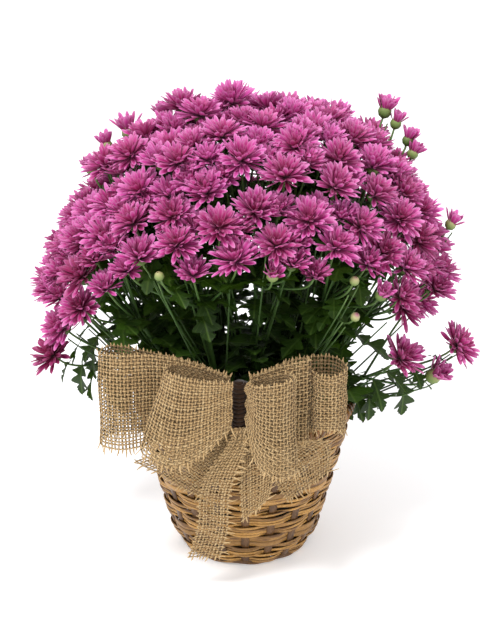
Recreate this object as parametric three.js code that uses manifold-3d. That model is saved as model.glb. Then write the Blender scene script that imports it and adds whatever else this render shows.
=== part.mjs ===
// A potted spray chrysanthemum, built the way the real one stands: a tapered basket woven over
// stakes, a plastic grower's pot full of soil inside it, leafy stems that each stand in a hole
// of their own, double blooms on forked stalks, and a loosely woven jute bow on the rim.
//
// Millimetres. Z is up, the basket rests on Z = 0 around the origin, and the bow faces -Y.

import * as THREE from 'three';
import { mergeVertices } from 'three/addons/utils/BufferGeometryUtils.js';
import Module from 'manifold-3d';

const wasm = await Module();
wasm.setup();

const GAP = 0.3;

// Basket: outside radius at each height, then its weave.
const BASKET_PROFILE = [
  [0, 54], [6, 58], [13, 61.5], [24, 66], [43, 70.5], [70, 77.5], [100, 85], [128, 91],
];
const BASKET_FOOT = 0.8;
const BASKET_TOP = 127.5;
const BASKET_THICKNESS = 3.6;
const INSIDE_BEND = 26;
const STAKES = 20;
const WEAVE_ROWS = 11;
const WEAVE_DEPTH = 1.3;
const BASE_THICKNESS = 5;
const RIM_RADIUS = 90.5;
const RIM_HEIGHT = 133;
const RIM_HALF_WIDTH = 4.6;
const RIM_HALF_HEIGHT = 5.2;
const RIM_WRAPS = 32;

// Grower's pot and its soil.
const POT_FLOOR = BASE_THICKNESS + GAP;
const POT_TOP = 118;
const POT_FOOT_RADIUS = 45;
const POT_TOP_RADIUS = 77;
const POT_WALL = 1.6;
const POT_LIP = 2.6;
const POT_SIDES = 20;
const DRAIN_RADIUS = 4.5;
const SOIL_TOP = 106;
const HOLE_RADIUS = 3.4;
const HOLE_DEPTH = 30;

// Flower dome: an ellipsoid, open below, that leans a little to the right. Its shoulders are
// broader than an ellipsoid's, and its flanks are slimmer.
const DOME_CENTRE = new THREE.Vector3(0, 0, 250);
const DOME_HALF = new THREE.Vector3(160, 142, 134);
const DOME_LEAN = 0.08;
const SHOULDER = 0.045;
const DOME_SPOTS = 150;
const SPRAY_SPOTS = 18;
const STEEP_CROWDING = 1.5;
const BLOOM_RADIUS = 19.5;
const LEAST_RADIUS = 12.5;
const BLOOM_CLEARANCE = 0.5;
const STALK_CLEARANCE = 2;

// Stems, stalks and leaves.
const FAN_ORIGIN = new THREE.Vector3(0, 0, 95);
const FORK_REACH = 0.66;
const HOLE_SPREAD = 0.3;
const STEM_RADIUS = 2.3;
const STALK_RADIUS = 1.2;
const STALK_RISE = 14;
const KNOB_RADIUS = 3.4;
const KNOB_HALF_LENGTH = 3;
const LEAVES_OUTER = 3;
const LEAVES_INNER = 2;
const OUTER_REACH = 70;
const LEAF_THICKNESS = 0.8;
const LEAF_LENGTH = [35, 52];

// Bow.
const RIBBON_THICKNESS = 1.2;

const GOLDEN_ANGLE = Math.PI * (3 - Math.sqrt(5));
const DEGREE = Math.PI / 180;

const at = (x, y, z) => new THREE.Vector3(x, y, z);
const between = (a, b, share) => a.clone().lerp(b, share);
const toward = (a, b) => b.clone().sub(a).normalize();

// Seeded draws, so that every build gives the same plant.
function draws(seed) {
  let state = seed;
  return (low, high) => {
    state = (state * 16807) % 2147483647;
    return low + (high - low) * state / 2147483647;
  };
}

// Solids.

function volume(points, faces) {
  let total = 0;
  for (const [a, b, c] of faces) total += points[a].dot(points[b].clone().cross(points[c]));
  return total / 6;
}

function solid(points, faces) {
  const outward = volume(points, faces) > 0 ? faces : faces.map(([a, b, c]) => [a, c, b]);
  return new wasm.Manifold(new wasm.Mesh({
    numProp: 3,
    vertProperties: new Float32Array(points.flatMap(p => [p.x, p.y, p.z])),
    triVerts: new Uint32Array(outward.flat()),
  }));
}

// Joins equal rings of points one after another. Round: the last ring meets the first.
function loft(rings, round = false) {
  const sides = rings[0].length;
  const faces = [];
  const steps = round ? rings.length : rings.length - 1;
  for (let i = 0; i < steps; i++) {
    const here = i * sides;
    const next = ((i + 1) % rings.length) * sides;
    for (let k = 0; k < sides; k++) {
      const l = (k + 1) % sides;
      faces.push([here + k, here + l, next + l], [here + k, next + l, next + k]);
    }
  }
  if (!round) {
    const last = (rings.length - 1) * sides;
    for (let k = 1; k < sides - 1; k++) faces.push([0, k + 1, k], [last, last + k, last + k + 1]);
  }
  return solid(rings.flat(), faces);
}

// A body of revolution from [radius, height] pairs around a closed section.
function turned(section, sides, centre = at(0, 0, 0)) {
  const rings = [];
  for (let i = 0; i < sides; i++) {
    const angle = 2 * Math.PI * i / sides;
    rings.push(section.map(([r, z]) => at(
      centre.x + r * Math.cos(angle), centre.y + r * Math.sin(angle), centre.z + z)));
  }
  return loft(rings, true);
}

function upright(radiusLow, radiusHigh, low, high, sides, centre = at(0, 0, 0)) {
  const ring = (radius, z) => Array.from({ length: sides }, (_, i) => {
    const angle = 2 * Math.PI * i / sides;
    return at(centre.x + radius * Math.cos(angle), centre.y + radius * Math.sin(angle), z);
  });
  return loft([ring(radiusLow, low), ring(radiusHigh, high)]);
}

function tube(path, radiusFirst, radiusLast, sides) {
  const last = path.length - 1;
  const run = toward(path[0], path[last]);
  const reference = Math.abs(run.x) < 0.7 ? at(1, 0, 0) : at(0, 1, 0);
  return loft(path.map((p, i) => {
    const ahead = toward(path[Math.max(i - 1, 0)], path[Math.min(i + 1, last)]);
    const side = reference.clone().cross(ahead).normalize();
    const across = ahead.clone().cross(side);
    const radius = radiusFirst + (radiusLast - radiusFirst) * i / last;
    return Array.from({ length: sides }, (_, k) => {
      const angle = 2 * Math.PI * k / sides;
      return p.clone().addScaledVector(side, radius * Math.cos(angle))
        .addScaledVector(across, radius * Math.sin(angle));
    });
  }));
}

const fused = solids => solids.reduce((whole, piece) => whole.add(piece));

const group = new THREE.Group();
group.name = 'potted_chrysanthemum';

function place(name, body, colour, roughness) {
  const mesh = body.getMesh();
  const geometry = new THREE.BufferGeometry();
  geometry.setAttribute('position', new THREE.BufferAttribute(new Float32Array(mesh.vertProperties), 3));
  geometry.setIndex(new THREE.BufferAttribute(new Uint32Array(mesh.triVerts), 1));
  const material = new THREE.MeshStandardMaterial({ color: colour, roughness, metalness: 0 });
  material.name = name;
  const piece = new THREE.Mesh(mergeVertices(geometry, 1e-3), material);
  piece.name = name;
  group.add(piece);
}

// Basket.

function basketRadius(z) {
  const i = Math.max(1, BASKET_PROFILE.findIndex(([height]) => height >= z));
  const [z0, r0] = BASKET_PROFILE[i - 1];
  const [z1, r1] = BASKET_PROFILE[i];
  return r0 + (r1 - r0) * (z - z0) / (z1 - z0);
}

// The inside is plain: it is straight below and above one bend.
function insideRadius(z) {
  const [low, high] = z > INSIDE_BEND ? [INSIDE_BEND, BASKET_TOP] : [BASKET_FOOT, INSIDE_BEND];
  const share = (z - low) / (high - low);
  return basketRadius(low) + (basketRadius(high) - basketRadius(low)) * share - BASKET_THICKNESS;
}

// Each row of strands passes in front of one stake and behind the next; the row above swaps.
function basketWall() {
  const steps = STAKES * 2;
  const rowHeight = (BASKET_TOP - BASKET_FOOT) / WEAVE_ROWS;
  const rings = [];
  for (let i = 0; i < steps; i++) {
    const angle = 2 * Math.PI * i / steps;
    const overStake = i % 2 ? 0 : ((i / 2) % 2 ? -1 : 1);
    const ring = [];
    for (let row = 0; row < WEAVE_ROWS; row++) {
      const swing = WEAVE_DEPTH * overStake * (row % 2 ? -1 : 1);
      for (const share of [0.12, 0.88]) {
        const z = BASKET_FOOT + rowHeight * (row + share);
        ring.push([basketRadius(z) + swing - 0.5, z]);
      }
    }
    ring[0][1] = BASKET_FOOT;
    ring[ring.length - 1][1] = BASKET_TOP;
    for (const z of [BASKET_TOP, INSIDE_BEND, BASKET_FOOT]) ring.push([insideRadius(z), z]);
    rings.push(ring.map(([r, z]) => at(r * Math.cos(angle), r * Math.sin(angle), z)));
  }
  return loft(rings, true);
}

// The rim is a bundle of cane wrapped with a strip, so its outline swells at every wrap.
function basketRim() {
  const rings = [];
  for (let i = 0; i < RIM_WRAPS; i++) {
    const angle = 2 * Math.PI * i / RIM_WRAPS;
    const swell = i % 2 ? 0 : -0.7;
    const ring = [];
    for (let k = 0; k < 6; k++) {
      const turn = 2 * Math.PI * (k + 0.5) / 6;
      const r = RIM_RADIUS + (RIM_HALF_WIDTH + swell) * Math.cos(turn);
      const z = RIM_HEIGHT + (RIM_HALF_HEIGHT + swell) * Math.sin(turn);
      ring.push(at(r * Math.cos(angle), r * Math.sin(angle), z));
    }
    rings.push(ring);
  }
  return loft(rings, true);
}

function basketBase() {
  const foot = insideRadius(BASKET_FOOT) - GAP;
  const top = insideRadius(BASE_THICKNESS) - GAP;
  const section = [[foot - 2.5, 0], [foot, BASKET_FOOT], [top, BASE_THICKNESS]];
  return loft(section.map(([r, z]) => Array.from({ length: STAKES * 2 }, (_, i) => {
    const angle = Math.PI * i / STAKES;
    return at(r * Math.cos(angle), r * Math.sin(angle), z);
  })));
}

place('basket_base', basketBase(), 0x8a5d2c, 0.75);
place('basket_wall', basketWall(), 0xc08a45, 0.55);
place('basket_rim', basketRim(), 0x9a6a35, 0.6);

// Pot and soil.

const potRadius = z => POT_FOOT_RADIUS
  + (POT_TOP_RADIUS - POT_FOOT_RADIUS) * (z - POT_FLOOR) / (POT_TOP - POT_FLOOR);

function growerPot() {
  const body = upright(POT_FOOT_RADIUS, POT_TOP_RADIUS, POT_FLOOR, POT_TOP, POT_SIDES)
    .add(upright(potRadius(110) + POT_LIP, POT_TOP_RADIUS + POT_LIP, 110, POT_TOP, POT_SIDES));
  const inside = upright(potRadius(POT_FLOOR + POT_WALL) - POT_WALL, potRadius(POT_TOP + 1) - POT_WALL,
    POT_FLOOR + POT_WALL, POT_TOP + 1, POT_SIDES);
  let pot = body.subtract(inside);
  for (let i = 0; i < 4; i++) {
    const centre = at(28, 0, 0).applyAxisAngle(at(0, 0, 1), (i + 0.5) * Math.PI / 2);
    pot = pot.subtract(
      upright(DRAIN_RADIUS, DRAIN_RADIUS, POT_FLOOR - 1, POT_FLOOR + POT_WALL + 1, 6, centre));
  }
  return pot;
}

place('grower_pot', growerPot(), 0x2a2f2b, 0.5);

// Where the blooms and stems stand.

// How far down the dome the blooms reach: least in front over the bow, most at the sides.
function lowestPolar(azimuth) {
  const front = Math.max(0, -Math.sin(azimuth)) ** 1.5;
  const back = Math.max(0, Math.sin(azimuth)) ** 1.5;
  return (97 - 31 * front - 10 * back) * DEGREE;
}

function domePoint(polar, azimuth) {
  const spread = 1 + SHOULDER * Math.sin(4 * polar);
  const p = at(
    DOME_HALF.x * Math.sin(polar) * Math.cos(azimuth),
    DOME_HALF.y * Math.sin(polar) * Math.sin(azimuth),
    DOME_HALF.z * Math.cos(polar),
  ).multiplyScalar(spread).add(DOME_CENTRE);
  p.x += DOME_LEAN * (p.z - DOME_CENTRE.z);
  return p;
}

// Spots over the dome, along a spiral that turns by the golden angle. They are closer where the
// dome is steep, because blooms that face upward overlap there like shingles.
function domeSpots(count) {
  const spots = [];
  const step = 0.5 * DEGREE;
  const band = polar => Math.sin(polar) * Math.hypot(
    DOME_HALF.x * Math.cos(polar), DOME_HALF.z * STEEP_CROWDING * Math.sin(polar));
  let whole = 0;
  for (let polar = step / 2; polar < 100 * DEGREE; polar += step) whole += band(polar);
  let covered = 0;
  for (let polar = step / 2; polar < 100 * DEGREE; polar += step) {
    const before = covered;
    covered += band(polar);
    for (let i = Math.ceil(before / whole * count - 0.5); i + 0.5 < covered / whole * count; i++) {
      const share = ((i + 0.5) * whole / count - before) / (covered - before) - 0.5;
      const azimuth = i * GOLDEN_ANGLE;
      if (polar < lowestPolar(azimuth)) spots.push([polar + share * step, azimuth]);
    }
  }
  return spots;
}

// A bloom faces halfway between straight out of the dome and straight up.
function facing(p) {
  const offset = p.clone().sub(DOME_CENTRE);
  return at(offset.x / DOME_HALF.x ** 2, offset.y / DOME_HALF.y ** 2, offset.z / DOME_HALF.z ** 2)
    .normalize().multiplyScalar(0.5).add(at(0, -0.08, 0.7)).normalize();
}

// The largest radius that keeps a bloom clear of another one: of its petals, which may pass
// over or under, and of its stalk where it stands higher.
function roomBeside(bloom, other) {
  const apart = other.centre.clone().sub(bloom.centre);
  if (other.bud) return apart.length() - other.limit - 2;
  const along = apart.dot(bloom.axis.clone().add(other.axis).normalize());
  const beside = Math.sqrt(apart.lengthSq() - along * along);
  const petals = Math.hypot(beside / 2, along) - BLOOM_CLEARANCE;
  return along > 4 ? Math.min(petals, beside - STALK_CLEARANCE) : petals;
}

// Blooms that hang below the dome at the sides, and buds that stand out of it:
// [x, y, z, radius].
const SIDE_BLOOMS = [
  [-149, -34, 213, 17], [-159, -30, 186, 18], [-131, -58, 240, 16], [-136, 14, 205, 16],
  [126, -60, 196, 18], [175, -34, 196, 17], [128, -48, 236, 17], [146, 20, 214, 16],
];
const BUDS = [
  [-49, 50, 378, 6], [-68, 45, 371, 5], [-96, 35, 360, 6.5], [-114, 28, 351, 5], [-126, 15, 334, 5],
  [116, 40, 376, 6], [125, 35, 367, 5], [135, 30, 354, 5], [139, 25, 344, 5], [170, 0, 291, 5],
  [157, -36, 170, 7], [-65, -120, 292, 4], [21, -125, 294, 5], [84, -110, 284, 4], [86, -100, 250, 4],
  [106, -95, 266, 5],
];
// Each side spray has its middle and its own foot, outside the feet of the sprays above it.
const SIDE_SPRAYS = [
  { centre: at(-158, -28, 200), foot: at(-56, -6, 0) },
  { centre: at(152, -30, 190), foot: at(54, -15, 0) },
];

function layOut() {
  const draw = draws(20261);
  const set = (bud, [x, y, z, limit]) => {
    const centre = at(x, y, z);
    return { centre, axis: facing(centre), limit, turn: draw(0, 1), bud };
  };
  const blooms = [...SIDE_BLOOMS.map(row => set(false, row)), ...BUDS.map(row => set(true, row))];
  for (const [polar, azimuth] of domeSpots(DOME_SPOTS)) {
    const centre = domePoint(polar + draw(-0.012, 0.012), azimuth + draw(-0.02, 0.02));
    const bloom = { centre, axis: facing(centre), limit: BLOOM_RADIUS, turn: draw(0, 1), bud: false };
    centre.addScaledVector(bloom.axis, draw(-9, 5));
    const crowded = other => roomBeside(bloom, other) < LEAST_RADIUS
      || !other.bud && roomBeside(other, bloom) < LEAST_RADIUS;
    if (!blooms.some(crowded)) blooms.push(bloom);
  }
  for (const bloom of blooms) {
    const room = blooms.filter(other => other !== bloom).map(other => roomBeside(bloom, other));
    bloom.radius = bloom.bud ? bloom.limit : Math.min(bloom.limit, ...room);
  }
  const sprays = [...domeSpots(SPRAY_SPOTS).map(spot => ({ centre: domePoint(...spot) })), ...SIDE_SPRAYS]
    .map(spray => ({ ...spray, blooms: [] }));
  for (const bloom of blooms) {
    const nearest = sprays.reduce((best, spray) =>
      spray.centre.distanceTo(bloom.centre) < best.centre.distanceTo(bloom.centre) ? spray : best);
    nearest.blooms.push(bloom);
  }
  for (const spray of sprays) {
    const middle = at(0, 0, 0);
    for (const bloom of spray.blooms) middle.addScaledVector(bloom.centre, 1 / spray.blooms.length);
    spray.fork = between(FAN_ORIGIN, middle, FORK_REACH);
    spray.foot ??= at(spray.fork.x, spray.fork.y, 0).multiplyScalar(HOLE_SPREAD / FORK_REACH);
    const { x, y } = spray.foot;
    const knee = at(x * 1.25, y * 1.25, 152);
    spray.heading = toward(knee, spray.fork);
    const below = distance => spray.fork.clone().addScaledVector(spray.heading, -distance);
    const bend = new THREE.QuadraticBezierCurve3(
      at(x, y, SOIL_TOP + 2), knee, below(KNOB_HALF_LENGTH + 6));
    const start = at(x, y, SOIL_TOP - HOLE_DEPTH + GAP);
    spray.path = [start, ...bend.getPoints(3), below(KNOB_HALF_LENGTH + GAP)];
  }
  return sprays;
}

const sprays = layOut();

function soil() {
  const low = POT_FLOOR + POT_WALL + GAP;
  const inner = z => potRadius(z) - POT_WALL - GAP;
  let body = upright(inner(low), inner(SOIL_TOP), low, SOIL_TOP, POT_SIDES);
  for (const { foot } of sprays) {
    body = body.subtract(upright(HOLE_RADIUS, HOLE_RADIUS, SOIL_TOP - HOLE_DEPTH, SOIL_TOP + 1, 6,
      at(foot.x, foot.y, 0)));
  }
  return body;
}

place('soil', soil(), 0x2e2118, 0.95);

// Blooms.

// A double bloom: two layers of five pointed petals round a raised middle, over a cup that
// narrows to its stalk. Each petal is a face of the core drawn out to a tip.
function bloomSolid({ centre, axis, radius, turn, bud }, fork) {
  const side = at(1, 0, 0).addScaledVector(axis, -axis.x).normalize();
  const across = axis.clone().cross(side);
  const spot = (r, fifths, height) => centre.clone()
    .addScaledVector(side, r * radius * Math.cos((fifths + turn) * Math.PI * 0.4))
    .addScaledVector(across, r * radius * Math.sin((fifths + turn) * Math.PI * 0.4))
    .addScaledVector(axis, height * radius);
  const points = [];
  const faces = [];
  const add = point => points.push(point) - 1;
  const drawnOut = (a, b, c, tip) => {
    const t = add(tip);
    faces.push([a, b, t], [b, c, t], [c, a, t]);
  };
  const five = [0, 1, 2, 3, 4];
  const low = five.map(k => add(spot(bud ? 0.9 : 0.7, k, bud ? 0 : -0.08)));
  const high = five.map(k => add(spot(bud ? 0.8 : 0.6, k + 0.5, bud ? 0.7 : 0.2)));
  const top = add(spot(0, 0, bud ? 1.7 : 0.5));
  for (const k of five) {
    const l = (k + 1) % 5;
    if (bud) {
      faces.push([low[k], low[l], high[k]], [low[l], high[l], high[k]], [high[k], high[l], top]);
    } else {
      drawnOut(low[k], low[l], high[k], spot(1, k + 0.5, 0));
      drawnOut(low[l], high[l], high[k], spot(0.94, k + 1, 0.34));
      faces.push([high[k], high[l], top]);
    }
  }
  const neckAt = centre.clone().addScaledVector(axis, bud ? -radius : -0.42 * radius);
  const elbowAt = neckAt.clone().addScaledVector(axis, -STALK_RISE);
  const run = toward(fork, elbowAt);
  const corners = [1, 3, 5].map(k => k * Math.PI / 3 + turn * Math.PI * 0.4);
  const cut = (p, along) => {
    const sideways = at(1, 0, 0).addScaledVector(along, -along.x).normalize();
    const over = along.clone().cross(sideways);
    return corners.map(radians => add(p.clone()
      .addScaledVector(sideways, STALK_RADIUS * Math.cos(radians))
      .addScaledVector(over, STALK_RADIUS * Math.sin(radians))));
  };
  const neck = cut(neckAt, axis);
  const elbow = cut(elbowAt, toward(fork, neckAt));
  const end = cut(fork.clone().addScaledVector(run, KNOB_HALF_LENGTH * 0.6), run);
  const below = [0, 0, 1, 2, 2];
  for (const k of five) {
    const l = (k + 1) % 5;
    faces.push([neck[below[k]], low[l], low[k]]);
    if (below[k] !== below[l]) faces.push([neck[below[k]], neck[below[l]], low[l]]);
  }
  for (const [first, second] of [[end, elbow], [elbow, neck]]) {
    for (const j of [0, 1, 2]) {
      const l = (j + 1) % 3;
      faces.push([first[j], first[l], second[l]], [first[j], second[l], second[j]]);
    }
  }
  faces.push([end[2], end[1], end[0]]);
  return solid(points, faces);
}

// Leaves.

// Edge of a lobed leaf from stalk to tip: [distance along, half width], in parts of its length.
const LEAF_EDGE = [[0, 0.02], [0.2, 0.03], [0.38, 0.27], [0.47, 0.12], [0.7, 0.33], [0.75, 0.14]];

function leafPoints({ root, azimuth, rise, length }) {
  const level = Math.cos(rise);
  const ahead = at(Math.cos(azimuth) * level, Math.sin(azimuth) * level, Math.sin(rise));
  const side = at(-Math.sin(azimuth), Math.cos(azimuth), 0);
  const up = ahead.clone().cross(side);
  const spot = (along, wide) => root.clone().addScaledVector(ahead, along * length)
    .addScaledVector(side, wide * length)
    .addScaledVector(up, length * (0.25 * Math.abs(wide) - 0.3 * along * along));
  const edge = [
    ...LEAF_EDGE.map(([along, wide]) => spot(along, -wide)),
    spot(1, 0),
    ...[...LEAF_EDGE].reverse().map(([along, wide]) => spot(along, wide)),
  ];
  return { edge, middle: spot(0.5, 0), up };
}

function leafSolid(leaf) {
  const { edge, middle, up } = leafPoints(leaf);
  const count = edge.length;
  const raise = (p, amount) => p.clone().addScaledVector(up, amount * LEAF_THICKNESS / 2);
  const points = [...edge, middle].map(p => raise(p, 1)).concat([...edge, middle].map(p => raise(p, -1)));
  const faces = [];
  for (let k = 0; k < count; k++) {
    const l = (k + 1) % count;
    const under = count + 1;
    faces.push([k, l, count], [under + l, under + k, under + count]);
    faces.push([k, under + k, under + l], [k, under + l, l]);
  }
  return solid(points, faces);
}

// Everything a leaf has to clear, as points with a distance to keep.
function obstacles() {
  const found = [];
  const line = (a, b, keep) => {
    const steps = Math.ceil(a.distanceTo(b) / 6);
    for (let i = 0; i <= steps; i++) found.push({ p: between(a, b, i / steps), keep });
  };
  for (const spray of sprays) {
    for (let i = 1; i < spray.path.length; i++) line(spray.path[i - 1], spray.path[i], 4.8);
    for (const bloom of spray.blooms) {
      line(spray.fork, bloom.centre, 5.5);
      found.push({ p: bloom.centre, keep: bloom.radius + 2.5 });
    }
  }
  return found;
}

function inTheWay(p) {
  const radius = Math.hypot(p.x, p.y);
  const rim = p.z < RIM_HEIGHT + 9 && radius > POT_TOP_RADIUS - 5 && radius < 103;
  const bow = p.y < -80 && p.z < 226 && p.x > -124 && p.x < 90;
  return rim || bow || p.z < SOIL_TOP + 4;
}

function leavesFor() {
  const draw = draws(77);
  const fixed = obstacles();
  const leaves = [];
  const fits = points => points.every(p => !inTheWay(p)
    && fixed.every(o => o.p.distanceTo(p) > o.keep)
    && leaves.every(leaf => leaf.points.every(q => q.distanceTo(p) > 8.5)));
  for (let round = 0; round < LEAVES_OUTER; round++) {
    for (const spray of sprays) {
      if (round >= LEAVES_INNER && Math.hypot(spray.fork.x, spray.fork.y) < OUTER_REACH) continue;
      for (let attempt = 0; attempt < 24; attempt++) {
        const share = draw(1.5, 3.97);
        const i = Math.floor(share);
        const root = between(spray.path[i], spray.path[i + 1], share - i);
        const outward = Math.atan2(spray.fork.y, spray.fork.x);
        const leaf = {
          root,
          azimuth: outward + draw(-1.7, 1.7),
          rise: draw(-0.5, 0.55),
          length: draw(LEAF_LENGTH[0], LEAF_LENGTH[1]),
          spray,
        };
        const { edge, middle } = leafPoints(leaf);
        const blade = edge.slice(1, -1);
        leaf.points = [middle,
          ...blade.flatMap(p => [p, between(p, middle, 1 / 3), between(p, middle, 2 / 3)])];
        if (fits(leaf.points)) {
          leaves.push(leaf);
          break;
        }
      }
    }
  }
  return leaves;
}

const leaves = leavesFor();

sprays.forEach((spray, index) => {
  const number = String(index + 1).padStart(2, '0');
  const own = leaves.filter(leaf => leaf.spray === spray).map(leafSolid);
  place(`leafy_stem_${number}`, fused([tube(spray.path, STEM_RADIUS, STEM_RADIUS * 0.8, 5), ...own]),
    0x2f5424, 0.6);
  const knobEnds = [-KNOB_HALF_LENGTH, KNOB_HALF_LENGTH].map(
    distance => spray.fork.clone().addScaledVector(spray.heading, distance));
  const knob = tube(knobEnds, KNOB_RADIUS, KNOB_RADIUS, 5);
  const heads = spray.blooms.map(bloom => bloomSolid(bloom, spray.fork));
  place(`bloom_spray_${number}`, fused([knob, ...heads]), 0xa8347f, 0.65);
});

// Bow.

// Each ribbon is given by stations along it: its upper or left edge, then its other edge.
// Loops leave the tie, turn round at their far end and come back behind themselves.
const RIBBONS = {
  bow_loop_left_front: [
    [-9, -119.5, 203, -9, -119.5, 164], [-30, -127, 207, -34, -129, 143], [-50, -129, 212, -60, -133, 134],
    [-62, -119, 214, -83, -121, 144], [-55, -109, 214, -72, -109, 146], [-32, -106, 208, -40, -105, 152],
    [-11, -109, 200, -11, -109, 165],
  ],
  bow_loop_left_back: [
    [-11, -103.5, 200, -11, -103.5, 162], [-40, -98, 210, -40, -98, 146], [-72, -98, 217, -72, -99, 139],
    [-100, -103, 219, -100, -107, 137], [-116, -97, 219, -117, -98, 138], [-108, -86, 221, -108, -86, 141],
    [-70, -87, 214, -70, -87, 144], [-40, -91, 206, -40, -91, 150], [-11, -99.5, 198, -11, -99.5, 164],
  ],
  bow_loop_right_front: [
    [1, -118, 202, 1, -117, 166], [10, -133, 206, 8, -138, 140], [26, -139, 211, 26, -144, 130],
    [38, -130, 212, 41, -133, 131], [32, -117, 210, 34, -119, 138], [16, -114, 205, 16, -115, 150],
    [3, -111.5, 200, 3, -111.5, 166],
  ],
  bow_loop_right_middle: [
    [3, -108.3, 201, 3, -108.3, 166], [22, -110, 210, 22, -110, 152], [40, -112, 217, 40, -112, 146],
    [51, -108, 218, 51, -109, 147], [42, -104.5, 217, 42, -104.5, 148], [22, -105.5, 209, 22, -105.5, 154],
    [3, -104.8, 200, 3, -104.8, 166],
  ],
  bow_loop_right_back: [
    [3, -102, 200, 3, -102, 166], [30, -99, 206, 30, -99, 152], [49, -100, 207, 50, -100, 152],
    [59, -113, 206, 59, -115, 158], [72, -113, 206, 72, -115, 158], [80, -101, 208, 81, -101, 152],
    [71, -88, 211, 71, -88, 146], [40, -89, 210, 40, -89, 148], [3, -99.3, 198, 3, -99.3, 167],
  ],
  bow_tail_left: [
    [-9, -103, 155.5, -5, -103, 155.5], [-20, -105, 151, -9, -106, 138], [-40, -104, 145, -14, -106, 122],
    [-64, -101, 134, -24, -103, 106], [-91, -93, 120, -37, -98, 90],
  ],
  bow_tail_long: [
    [-7, -115.9, 163, 0, -115.9, 163], [-13, -116.5, 148, 1, -116.5, 148], [-30, -118, 124, -6, -118, 124],
    [-37, -114, 100, -12, -115, 100], [-39, -105, 65, -14, -106, 65], [-48, -96, 32, -20, -98, 34],
  ],
  bow_tail_middle: [
    [-4, -107, 155.5, 1, -107, 155.5], [-2, -110, 142, 10, -110, 146], [-4, -112, 120, 22, -111, 133],
    [-4, -108, 92, 23, -107, 112], [-2, -103, 70, 19, -103, 91],
  ],
  bow_tail_right: [
    [-2, -101, 155.5, 2, -101, 155.5], [6, -104, 142, 16, -102, 149], [13, -105, 126, 40, -101, 144],
    [23, -102, 106, 67, -92, 138], [34, -98, 86, 70, -82, 105],
  ],
};
const TIE = { low: 156, high: 198, left: -10.5, right: 2.5, front: -115, back: -96 };

function ribbon(stations) {
  const count = (stations.length - 1) * 2 + 1;
  const curves = [0, 3].map(first => new THREE.CatmullRomCurve3(
    stations.map(station => at(...station.slice(first, first + 3))), false, 'centripetal'));
  const edges = [];
  for (let i = 0; i < count; i++) edges.push(curves.map(curve => curve.getPoint(i / (count - 1))));
  const middle = ([a, b]) => between(a, b, 0.5);
  return loft(edges.map((edge, i) => {
    const ahead = toward(middle(edges[Math.max(i - 1, 0)]), middle(edges[Math.min(i + 1, count - 1)]));
    const normal = ahead.clone().cross(toward(edge[0], edge[1])).normalize();
    const [a, b] = edge;
    const out = RIBBON_THICKNESS / 2;
    return [a.clone().addScaledVector(normal, out), a.clone().addScaledVector(normal, -out),
      b.clone().addScaledVector(normal, -out), b.clone().addScaledVector(normal, out)];
  }));
}

// The tie gathers the ribbons and is wired to the rim behind it.
function bowTie() {
  const { low, high, left, right, front, back } = TIE;
  const x = (left + right) / 2;
  const y = (front + back) / 2;
  const corners = [
    [1, -0.7], [1, 0.7], [0.7, 1], [-0.7, 1], [-1, 0.7], [-1, -0.7], [-0.7, -1], [0.7, -1],
  ];
  const ring = (z, share) => corners.map(([across, along]) =>
    at(x + (right - left) / 2 * share * across, y + (back - front) / 2 * share * along, z));
  const gather = loft([
    ring(low, 0.8), ring(low + 10, 1), ring((low + high) / 2, 0.85), ring(high - 10, 1), ring(high, 0.7),
  ]);
  const wire = tube([at(x, back - 3, 176), at(x, back + 2, 168), at(x, -RIM_RADIUS, 154),
    at(x, -RIM_RADIUS, RIM_HEIGHT + RIM_HALF_HEIGHT + 0.15)], 0.9, 0.9, 4);
  return gather.add(wire);
}

for (const [name, stations] of Object.entries(RIBBONS)) place(name, ribbon(stations), 0xb08a5c, 0.9);
place('bow_tie', bowTie(), 0x6e5334, 0.9);

export default group;
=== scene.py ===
"""Looks for the potted spray chrysanthemum.

Everything is laid out in millimetres in the part's own frame (Z up, the basket on Z = 0, the
bow towards -Y) and turned into metres when a mesh is made.
"""
import math

import bpy
import numpy as np
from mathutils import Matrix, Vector


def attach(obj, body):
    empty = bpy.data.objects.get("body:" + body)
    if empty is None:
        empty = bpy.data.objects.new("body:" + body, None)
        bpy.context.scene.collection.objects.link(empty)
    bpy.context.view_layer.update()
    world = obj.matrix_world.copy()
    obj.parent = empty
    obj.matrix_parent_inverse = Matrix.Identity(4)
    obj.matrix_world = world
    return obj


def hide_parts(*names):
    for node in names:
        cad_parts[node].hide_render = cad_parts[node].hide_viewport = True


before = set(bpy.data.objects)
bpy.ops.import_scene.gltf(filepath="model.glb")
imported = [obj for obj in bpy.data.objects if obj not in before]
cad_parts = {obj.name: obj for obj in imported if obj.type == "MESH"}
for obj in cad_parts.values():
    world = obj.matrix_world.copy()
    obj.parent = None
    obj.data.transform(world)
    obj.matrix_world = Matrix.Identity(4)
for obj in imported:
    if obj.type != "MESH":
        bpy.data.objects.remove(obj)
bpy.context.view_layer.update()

TURN = 2 * math.pi
GOLDEN_ANGLE = math.pi * (3 - math.sqrt(5))
UP = np.array([0.0, 0.0, 1.0])

# Basket: outside radius at each height, and its weave.
BASKET_HEIGHTS = [0, 6, 13, 24, 43, 70, 100, 128]
BASKET_RADII = [54, 58, 61.5, 66, 70.5, 77.5, 85, 91]
BASKET_FOOT, BASKET_TOP, STAKES, WEAVE_ROWS, FLAT_ROWS = 0.8, 127.5, 20, 11, (2, 6)
STRAND_INSET, STRAND_SWING, STAKE_INSET = 0.6, 1.5, 0.9
RIM_RADIUS, RIM_HEIGHT, RIM_HALF_WIDTH, RIM_HALF_HEIGHT = 90.5, 133, 4.6, 5.2
RIM_TURNS, STRIP_DEPTH = 84, 0.5

# Pot and soil.
POT_FLOOR, POT_TOP, POT_FOOT_RADIUS, POT_TOP_RADIUS, POT_WALL = 5.3, 118, 45, 77, 1.6
SOIL_TOP, HOLE_DEPTH = 106, 30

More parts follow.
